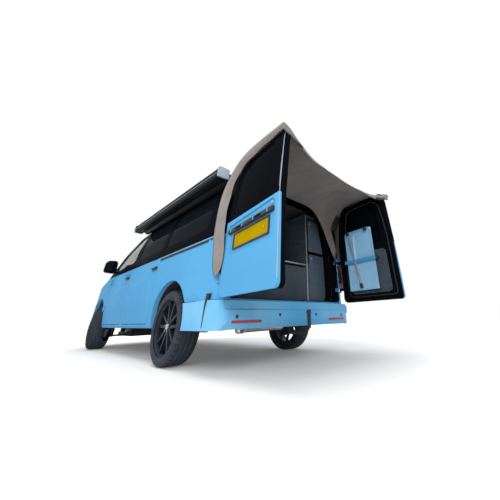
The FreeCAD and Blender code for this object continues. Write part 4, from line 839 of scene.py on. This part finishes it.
# left rear door, outside: handle bar with its lamps, grip and ribs, edge strip, lock, plate frame and screws
handleBarLook = {
    "tailHandleBar": (slab, (0.70, 0.036, 0.026, 0.012, 0.005), [(0.405, 1.062, -0.0085)], "blackPlastic"),
    "plateLamp": (slab, (0.085, 0.017, 0.004, 0.006, 0.001), [(0.25, 1.058, 0.0165), (0.56, 1.058, 0.0165)],
                  "darkGlass"),
    "tailHandleGrip": (slab, (0.15, 0.022, 0.006, 0.009, 0.002), [(0.405, 1.062, 0.0165)], "blackPlastic"),
    "handleBarRib": (slab, (0.012, 0.03, 0.003, 0.002, 0.0008),
                     [(across, 1.062, 0.0165) for across in (0.12, 0.32, 0.49, 0.69)], "cabPaint"),
}
plateLook = {
    "tailLock": (drum, (0.014, 0.010, 0.002), [(0.085, 1.115, -0.009)], "silverTrim"),
    "plateFrame": (slab, (0.548, 0.138, 0.010, 0.008, 0.002, 0.012), [(0.388, 0.962, -0.009)],
                   "blackPlastic"),
    "plateScrew": (drum, (0.0055, 0.0035, 0.001, 20), [(0.18, 0.962, 0.0005), (0.60, 0.962, 0.0005)],
                   "brightSteel"),
}
stripLook = {"across": 0.006, "out": -0.004, "bottom": 0.6, "step": 0.057, "points": 21, "radius": 0.0045}
dress(1, handleBarLook)
strip = [openDoorPoint(1, stripLook["across"], stripLook["out"], stripLook["bottom"] + stripLook["step"] * k)
         for k in range(stripLook["points"])]
finish(rod(strip, stripLook["radius"]), "doorEdgeStrip", "silverTrim", "tail_door_left")
dress(1, plateLook)

# both rear doors, inside: seal, lower card and its studs
doorInsideLook = {
    "seal": [(0.045, 0.62), (0.045, 1.20), (0.055, 1.45), (0.075, 1.62), (0.10, 1.68), (0.16, 1.715),
             (0.40, 1.715), (0.54, 1.705), (0.60, 1.66), (0.64, 1.55), (0.665, 1.42), (0.70, 1.26),
             (0.718, 1.10), (0.718, 0.66), (0.70, 0.62), (0.66, 0.60), (0.10, 0.60), (0.06, 0.605)],
    "sealOut": -0.0655,
    "sealRadius": 0.007,
}
cardLook = {
    "doorCard": (slab, (0.58, 0.48, 0.007, 0.05, 0.002), [(0.39, 0.87, -0.064)], "carpet"),
    "cardStud": (drum, (0.009, 0.003, 0.001, 16),
                 [(0.13 * step, z, -0.071) for z in (0.655, 1.085) for step in range(1, 6)], "blackPlastic"),
}
for side, word in ((1, "Left"), (-1, "Right")):
    look = doorInsideLook
    path = [openDoorPoint(side, across, look["sealOut"], z) for across, z in look["seal"]]
    finish(rod(path, look["sealRadius"], True), "doorSeal" + word, "sealRubber", "tail_door_" + word.lower())
    dress(side, {name + word: row for name, row in cardLook.items()}, True)

# folded table on the right door: rim and corner clips, folded leg and foot, strap with its anchors
tableLook = {
    "tableRim": (slab, (0.414, 0.734, 0.004, 0.05, 0.0012, 0.010), [(0.442, 1.036, -0.1185)], "tableBlue"),
    "tableClip": (slab, (0.036, 0.05, 0.022, 0.008, 0.003), [(0.30, 1.385, -0.1185), (0.585, 1.385, -0.1185)],
                  "blackPlastic"),
}
legLook = {"top": (0.565, 1.33), "foot": (0.475, 0.74), "out": -0.1295, "radius": 0.013, "footRadius": 0.019,
           "footLong": 0.05}
strapLook = {
    "tableStrap": (slab, (0.47, 0.042, 0.0022), [(0.442, 1.01, -0.14)], "strapBlue"),
    "strapAnchor": (slab, (0.03, 0.034, 0.076, 0.006, 0.002), [(0.21, 1.01, -0.064), (0.674, 1.01, -0.064)],
                    "blackPlastic"),
}
dress(-1, tableLook, True)
start, end = (openDoorPoint(-1, across, legLook["out"], z) for across, z in (legLook["top"], legLook["foot"]))
finish(rod([start, end], legLook["radius"]), "tableLeg", "greyPlastic", "tail_door_right")
foot = end + (end - start).normalized() * legLook["footLong"]
finish(rod([end, foot], legLook["footRadius"]), "tableLegFoot", "blackPlastic", "tail_door_right")
dress(-1, strapLook, True)
print("rear doors dressed")

# doorway: seal round the opening and sill plate
doorwayLook = {
    "edge": [(0.70, 0.562), (0.73, 0.574), (0.742, 0.60), (0.747, 0.70), (0.747, 1.10), (0.727, 1.26),
             (0.696, 1.42), (0.664, 1.58), (0.636, 1.68), (0.585, 1.75), (0.50, 1.784), (0.25, 1.79)],
    "top": [(0.0, 1.79)],
    "foot": [(-0.3, 0.558), (0.3, 0.558)],
    "sunk": 0.0038,
    "sealRadius": 0.005,
    "sill": (1.34, 0.036, 0.003, 0.008, 0.001),
    "sillPlace": (-1.882, 0.0, 0.56),
}
edge = doorwayLook["edge"]
loop = edge + doorwayLook["top"] + [(-y, z) for y, z in reversed(edge)] + doorwayLook["foot"]
path = [Vector((tailPoint(y, z, 0.0).x + doorwayLook["sunk"], y, z)) for y, z in loop]
finish(rod(path, doorwayLook["sealRadius"], True), "doorwaySeal", "sealRubber")
sill = put(slab(*doorwayLook["sill"]), doorwayLook["sillPlace"], (0, -1, 0), (-1, 0, 0))
finish(sill, "sillPlate", "silverTrim")

# inside: pale board edges, the divider's a painted highlight, carpeted panel with studs, cabinet doors with
# their latches
boardLook = {
    "dividerEdge": (slab, (0.016, 1.17, 0.004, 0.003, 0.001), (-1.8085, -0.394, 1.11), "paleTrim"),
    "bedBoardEdge": (slab, (1.24, 0.016, 0.004, 0.003, 0.001), (-1.8085, 0.245, 0.994), "paleTrim"),
    "bedFrontPanel": (slab, (1.20, 0.40, 0.006, 0.02, 0.002), (-1.8085, 0.245, 0.755), "carpet"),
}
studLook = {"size": (0.009, 0.003, 0.001, 16), "x": -1.8145, "firstY": -0.30, "spread": 0.218,
            "rows": (0.585, 0.925)}
cabinetLook = {
    "cabinetDoor0": (slab, (0.40, 0.44, 0.006, 0.015, 0.002), (-1.8085, -0.63, 1.40), "darkBoard"),
    "cabinetLatch0": (drum, (0.014, 0.006, 0.002, 24), (-1.8145, -0.48, 1.57), "silverTrim"),
    "cabinetDoor1": (slab, (0.40, 0.56, 0.006, 0.015, 0.002), (-1.8085, -0.63, 0.86), "darkBoard"),
    "cabinetLatch1": (drum, (0.014, 0.006, 0.002, 24), (-1.8145, -0.48, 1.09), "silverTrim"),
}
for index in range(12):
    y = studLook["firstY"] + studLook["spread"] * (index % 6)
    place = (studLook["x"], y, studLook["rows"][index // 6])
    boardLook["panelStud%d" % index] = (drum, studLook["size"], place, "blackPlastic")
fit(boardLook | cabinetLook)
print("doorway and inside dressed")

# tail: lamp bands, reflectors, parking sensors, quarter seams, inlet flap, tow ball
tailLook = {
    "bands": ((-2.0, 0.885, 0.94), (-2.0, 0.885, 0.845)),
    "bandSize": (0.088, 0.034),
    "bandLaid": (0.0012, 0.0015),
    "sensors": ((-2.0265, 0.754, 0.41), (-2.0265, 0.27, 0.42)),
    "sensor": (0.0115, 0.004, 0.001, 24),
    "sensorRing": (0.0135, 0.0012),
    "seam": [(-1.900, 0.588), (-1.852, 0.590), (-1.838, 0.50), (-1.836, 0.332), (-1.846, 0.332),
             (-1.862, 0.48)],
    "seamFrom": 0.940,
    "seamThick": 0.0192,
    "ball": (-2.156, 0, 0.437),
    "ballRadius": 0.0256,
}
bumperLook = {"bumperReflector": (slab, (0.31, 0.02, 0.004, 0.008, 0.0012), (-2.0255, 0.648, 0.372),
                                  "reflectorRed")}
flapLook = {"inletFlap": (slab, (0.042, 0.074, 0.006, 0.008, 0.002), (-1.9492, -0.979, 0.476), "strapBlue")}
for index, place in enumerate(tailLook["bands"]):
    band = put(flat(*tailLook["bandSize"]), place, *backward)
    band = pressed(band, cadNodes["tail_lamps"], "x", *tailLook["bandLaid"])
    twin(band, "lampBand%d" % index, "paleTrim")
for index, place in enumerate(tailLook["sensors"]):
    bumperLook["parkSensor%d" % index] = (drum, tailLook["sensor"], place, "blackPlastic")
    bumperLook["sensorRing%d" % index] = (hoop, tailLook["sensorRing"], place, "blackPlastic")
fit(bumperLook, True)
seam = [(x, tailLook["seamFrom"], z) for x, z in tailLook["seam"]]
twin(prism("seam", seam, (0, tailLook["seamThick"], 0)), "quarterSeam", "sealRubber")
fit(flapLook)
clearSelection()
bpy.ops.mesh.primitive_uv_sphere_add(segments=40, ring_count=24, radius=tailLook["ballRadius"],
                                     location=tailLook["ball"])
finish(active(), "towBall", "blackMetal", angle=180)
print("tail dressed")

# sides: slide rail and its light line, door handles, mirror glass painted dark as its reflection
sideLook = {
    "railRear": -1.79,
    "railFront": -0.53,
    "railLaid": (0.001, 0.003),
    "rails": {"slideRail": (0.018, 1.08, "blackPlastic"), "slideRailLine": (0.005, 1.0965, "silverTrim")},
    "handles": (("slidingDoorHandle", -0.42, "sliding_door", "vehicle_body", None),
                ("cabDoorHandle", 0.66, "front_door_left", "cab_door_left", "cab_door_right")),
    "cup": (0.17, 0.052, 0.003, 0.022, 0.001),
    "cupHeight": 0.985,
    "cupSunk": 0.001,
    "grip": ((-0.07, 0.006), (-0.05, 0.024), (0.05, 0.024), (0.07, 0.006)),
    "gripHeight": 0.99,
    "gripRadius": 0.008,
    "mirror": (0.092, 0.15, 0.003, 0.02, 0.001),
    "mirrorPlace": (1.401, 1.083, 1.255),
}
railRear, railFront = sideLook["railRear"], sideLook["railFront"]
for name, (high, z, surface) in sideLook["rails"].items():
    rail = put(flat(railFront - railRear, high), ((railRear + railFront) / 2, 1.0, z), *leftward)
    twin(pressed(rail, cadNodes["body_shell"], "y", *sideLook["railLaid"]), name, surface)
for name, x, node, body, mirrorBody in sideLook["handles"]:
    depth = faceOf(node).ray_cast(Vector((x, 2.0, sideLook["cupHeight"])), Vector((0, -1, 0)))[0].y
    cup = put(slab(*sideLook["cup"]), (x, depth - sideLook["cupSunk"], sideLook["cupHeight"]), *leftward)
    grip = rod([(x + along, depth + out, sideLook["gripHeight"]) for along, out in sideLook["grip"]],
               sideLook["gripRadius"])
    for piece, word in ((cup, "Cup"), (grip, "Grip")):
        if mirrorBody:
            twin(piece, name + word, "blackPlastic", body, mirrorBody)
        else:
            finish(piece, name + word, "blackPlastic", body)
# dark glass in place of a mirror: a painted dark reflection
glass = put(slab(*sideLook["mirror"]), sideLook["mirrorPlace"], *backward)
twin(glass, "mirrorGlassPaintedDark", "darkGlass", "cab_door_left", "cab_door_right")

# headlamp bezels and exhaust tip
endLook = {
    "bezels": (0.66, 0.79),
    "bezelHeight": 0.80,
    "bezel": (0.042, 0.007),
    "bezelOut": 0.002,
    "tip": (0.031, 0.07, 0.002, 40),
    "tipPlace": (-1.785, 0.57, 0.304),
    "tipWall": 0.003,
    "tipDeep": 0.06,
    "endArea": 0.001,
}
lampFace = faceOf("headlamps")
for index, y in enumerate(endLook["bezels"]):
    hit = lampFace.ray_cast(Vector((3.5, y, endLook["bezelHeight"])), Vector((-1, 0, 0)))[0]
    bezel = put(hoop(*endLook["bezel"]), (hit.x + endLook["bezelOut"], y, endLook["bezelHeight"]), *forward)
    twin(bezel, "lampBezel%d" % index, "silverTrim")
tip = put(drum(*endLook["tip"]), endLook["tipPlace"], *backward)
back = min(polygon.center.x for polygon in tip.data.polygons if polygon.area > endLook["endArea"])
openFaces(tip, lambda polygon: polygon.area > endLook["endArea"] and polygon.center.x == back)
bpy.ops.mesh.inset(thickness=endLook["tipWall"])
drawOut((endLook["tipDeep"], 0, 0))
finish(tip, "exhaustTip", "brightSteel")
print("sides and front dressed")

# wheels: treaded tyres in place of the plain ones, bolts, centre caps and rim edges
wheelLook = {
    "wheels": [("rear_left", (-1.0362, 0.816, 0.341), (0, 1, 0)),
               ("rear_right", (-1.0362, -0.816, 0.341), (0, -1, 0)),
               ("front_left", (2.0354, 0.8008, 0.341), (0.40674, 0.91355, 0)),
               ("front_right", (1.8922, -0.8008, 0.341), (-0.40674, -0.91355, 0))],
    "halfSection": [(0.020, 0.3409), (0.026, 0.3408), (0.062, 0.3402), (0.068, 0.3398), (0.092, 0.3365),
                    (0.104, 0.329), (0.113, 0.314), (0.118, 0.294), (0.114, 0.276), (0.104, 0.256),
                    (0.088, 0.249)],
    "steps": 120,
    "groovesAt": (0.065, 0.023),
    "grooveHalf": 0.002,
    "treadFrom": 0.335,
    "shoulderFrom": 0.326,
    "shoulderOut": 0.066,
    "everyStep": 3,
    "groove": 0.007,
    "grooveWall": 0.0008,
    "bolts": 5,
    "boltCircle": 0.044,
    "boltTurn": 0.3,
    "boltSunk": 0.002,
    "bolt": (0.0085, 0.014, 0.0015, 6),
    "hubOut": 0.0805,
    "hubCap": (0.027, 0.010, 0.003, 40),
    "rimEdge": (0.257, 0.0035, 96),
    "rimEdgeOut": 0.1065,
}


def treadedTyre():
    # a ring of the section round the z axis, with grooves pressed into the tread and shoulders
    look = wheelLook
    half, steps = look["halfSection"], look["steps"]
    section = [(-across, radius) for across, radius in reversed(half)] + half
    count = len(section)
    points, faces = [], []
    for i in range(steps):
        turn = 2 * math.pi * i / steps
        after = (i + 1) % steps
        for across, radius in section:
            points.append((radius * math.cos(turn), radius * math.sin(turn), across))
        for j in range(count):
            beside = (j + 1) % count
            faces.append((i * count + j, i * count + beside, after * count + beside, after * count + j))
    ring = meshPiece("treadedTyre", points, faces)
    turnOutward(ring)

    def groove(polygon):
        middle = polygon.center
        radius, out = math.hypot(middle.x, middle.y), abs(middle.z)
        step = int(round(math.atan2(middle.y, middle.x) / (2 * math.pi) * steps - 0.5)) % steps
        tread = any(abs(out - at) < look["grooveHalf"] for at in look["groovesAt"])
        shoulder = radius > look["shoulderFrom"] and out > look["shoulderOut"]
        return (tread and radius > look["treadFrom"]) or (shoulder and step % look["everyStep"] == 0)
    openFaces(ring, groove)
    bpy.ops.mesh.inset(thickness=look["grooveWall"], depth=-look["groove"])
    mode("OBJECT")
    return ring


treaded = treadedTyre()
look = wheelLook
upright = (0, 0, 1)
for name, centre, axis in look["wheels"]:
    body, word = "wheel_" + name, name.title().replace("_", "")
    centre, out = Vector(centre), Vector(axis)
    level = Vector(upright).cross(out)
    tyre = put(copyOf(treaded), centre, level, upright)
    finish(tyre, "treadedTyre" + word, "rubber", body, 32)
    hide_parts("tyre_" + name)
    hubFace = centre + out * look["hubOut"]
    bolts = []
    for index in range(look["bolts"]):
        turn = 2 * math.pi * index / look["bolts"] + look["boltTurn"]
        spot = hubFace + (level * math.cos(turn) + Vector(upright) * math.sin(turn)) * look["boltCircle"]
        bolts.append(put(drum(*look["bolt"]), spot - out * look["boltSunk"], level, upright))
    finish(joinAll(bolts), "wheelBolts" + word, "dullSteel", body)
    finish(put(drum(*look["hubCap"]), hubFace, level, upright), "hubCap" + word, "silverTrim", body)
    finish(put(hoop(*look["rimEdge"]), centre + out * look["rimEdgeOut"], level, upright),
           "rimEdge" + word, "rimBlack", body)
bpy.data.objects.remove(treaded)
print("wheels dressed")

# front seats: swollen by cloth simulation, movement capped
seatLook = {
    "voxel": 0.012,
    "shrink": 0.006,
    "pressure": 4.0,
    "quality": 4,
    "cap": 0.024,
    "frames": 20,
    "relax": (0.5, 6),
    "seatCentre": 0.40,
    "channels": (0.13, 0.0),
    "channelHalf": 0.018,
    "channelDeep": 0.005,
}


def swell(piece, starts):
    look = seatLook
    cloth = piece.modifiers.new("stuffing", "CLOTH")
    cloth.settings.use_pressure = True
    cloth.settings.uniform_pressure_force = look["pressure"]
    cloth.settings.effector_weights.gravity = 0.0
    cloth.settings.quality = look["quality"]
    cloth.point_cache.frame_start, cloth.point_cache.frame_end = 1, look["frames"]
    for frameNumber in range(1, look["frames"] + 1):
        bpy.context.scene.frame_set(frameNumber)
    graph = bpy.context.evaluated_depsgraph_get()
    swollen = [vertex.co.copy() for vertex in piece.evaluated_get(graph).data.vertices]
    piece.modifiers.clear()
    bpy.context.scene.frame_set(1)
    for vertex, place, start in zip(piece.data.vertices, swollen, starts):
        move = place - start
        if move.length > look["cap"]:
            move = move.normalized() * look["cap"]
        vertex.co = start + move


look = seatLook
padded = copyOf(cadNodes["front_seats"])
padded.name = "paddedSeats"
settle(padded)
remesh = padded.modifiers.new("voxels", "REMESH")
remesh.mode = "VOXEL"
remesh.voxel_size = look["voxel"]
applyModifiers(padded)
shrunk = [vertex.co - vertex.normal * look["shrink"] for vertex in padded.data.vertices]
for vertex, place in zip(padded.data.vertices, shrunk):
    vertex.co = place
swell(padded, shrunk)
relax = padded.modifiers.new("relax", "SMOOTH")
relax.factor, relax.iterations = look["relax"]
applyModifiers(padded)
for vertex in padded.data.vertices:
    # sewn channels across the cushions and up the backs
    beside = abs(abs(vertex.co.y) - look["seatCentre"])
    for line in look["channels"]:
        near = abs(beside - line) / look["channelHalf"]
        if near < 1:
            vertex.co -= vertex.normal * look["channelDeep"] * (1 - near)
grown = padded.modifiers.new("rounded", "SUBSURF")
grown.levels = 1
applyModifiers(padded)
finish(padded, "paddedSeats", "seatCloth", "vehicle_body", 180)
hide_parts("front_seats")
print("seats padded", len(padded.data.polygons))

# camera, light and floor
cameraPlace = {
    "location": (-3.9428, 2.062, 0.3864),
    "yaw": -0.8429,
    "pitch": 0.4772,
    "roll": -0.0272,
    "lens": 17.59,
    "shift": (-0.1036, -0.1166),
    "sensor": 36.0,
    "clip": (0.02, 200.0),
}
camera = linked(bpy.data.objects.new("camera", bpy.data.cameras.new("camera")))
yaw, pitch, roll = cameraPlace["yaw"], cameraPlace["pitch"], cameraPlace["roll"]
ahead = Vector((math.cos(pitch) * math.cos(yaw), math.cos(pitch) * math.sin(yaw), math.sin(pitch)))
right = ahead.cross(Vector((0, 0, 1))).normalized()
over = right.cross(ahead)
across = right * math.cos(roll) + over * math.sin(roll)
up = over * math.cos(roll) - right * math.sin(roll)
camera.matrix_world = (Matrix.Translation(cameraPlace["location"])
                       @ Matrix((across, up, -ahead)).transposed().to_4x4())
camera.data.lens = cameraPlace["lens"]
camera.data.sensor_width = cameraPlace["sensor"]
camera.data.shift_x, camera.data.shift_y = cameraPlace["shift"]
camera.data.clip_start, camera.data.clip_end = cameraPlace["clip"]
bpy.context.scene.camera = camera


def seenDirectly(tree):
    # 1 for the rays of the camera, of mirror images and through glass, 0 for those that light the scene
    ray = addNode(tree, "ShaderNodeLightPath").outputs
    direct = sums("MAXIMUM", ray["Is Camera Ray"], ray["Is Glossy Ray"])
    return sums("MAXIMUM", direct, ray["Is Transmission Ray"])


floorLook = {"size": 26.0, "tone": (0.8, 0.8, 0.8), "glow": (2.4, 5.2, 0.1, 0.75)}
clearSelection()
bpy.ops.mesh.primitive_plane_add(size=floorLook["size"], location=(0, 0, 0))
floor = active()
floor.name = "studioFloor"
floorShader, floorPlace = newSurface("studioFloor", floorLook["tone"], 0.9, 0.0, 0.1)
floorTree = floorPlace.id_data
distance = addNode(floorTree, "ShaderNodeVectorMath", {0: floorPlace}, operation="LENGTH").outputs["Value"]
away = spanned(distance, *floorLook["glow"])
floorShader.inputs["Emission Color"].default_value = (1, 1, 1, 1)
feed(floorShader, "Emission Strength", sums("MULTIPLY", seenDirectly(floorTree), away))
floor.data.materials.append(surfaces["studioFloor"])

worldLook = {"soft": 0.62, "seen": 1.0}
world = bpy.data.worlds.new("studio")
bpy.context.scene.world = world
world.use_nodes = True
worldTree = world.node_tree
worldTree.nodes.clear()
soft, white = (addNode(worldTree, "ShaderNodeBackground", {"Color": (1, 1, 1, 1), "Strength": strength})
               for strength in (worldLook["soft"], worldLook["seen"]))
blend = addNode(worldTree, "ShaderNodeMixShader",
                {0: seenDirectly(worldTree), 1: soft.outputs[0], 2: white.outputs[0]})
addNode(worldTree, "ShaderNodeOutputWorld", {"Surface": blend.outputs[0]})


def softLamp(name, place, aim, size, power):
    lamp = linked(bpy.data.objects.new(name, bpy.data.lights.new(name, "AREA")))
    lamp.data.shape = "RECTANGLE"
    lamp.data.size, lamp.data.size_y = size
    lamp.data.energy = power
    lamp.location = place
    lamp.rotation_mode = "QUATERNION"
    lamp.rotation_quaternion = (Vector(aim) - Vector(place)).to_track_quat("-Z", "Y")
    lamp.visible_glossy = False


softLamp("overheadSoftbox", (-0.5, 1.5, 7.0), (-0.5, 0.3, 0.5), (7.0, 5.0), 420)
softLamp("rearLeftSoftbox", (-6.5, 5.0, 3.6), (-1.5, 0.5, 0.9), (4.5, 3.0), 330)
bpy.context.scene.view_settings.view_transform = "Standard"
print("camera, lamps and floor set")
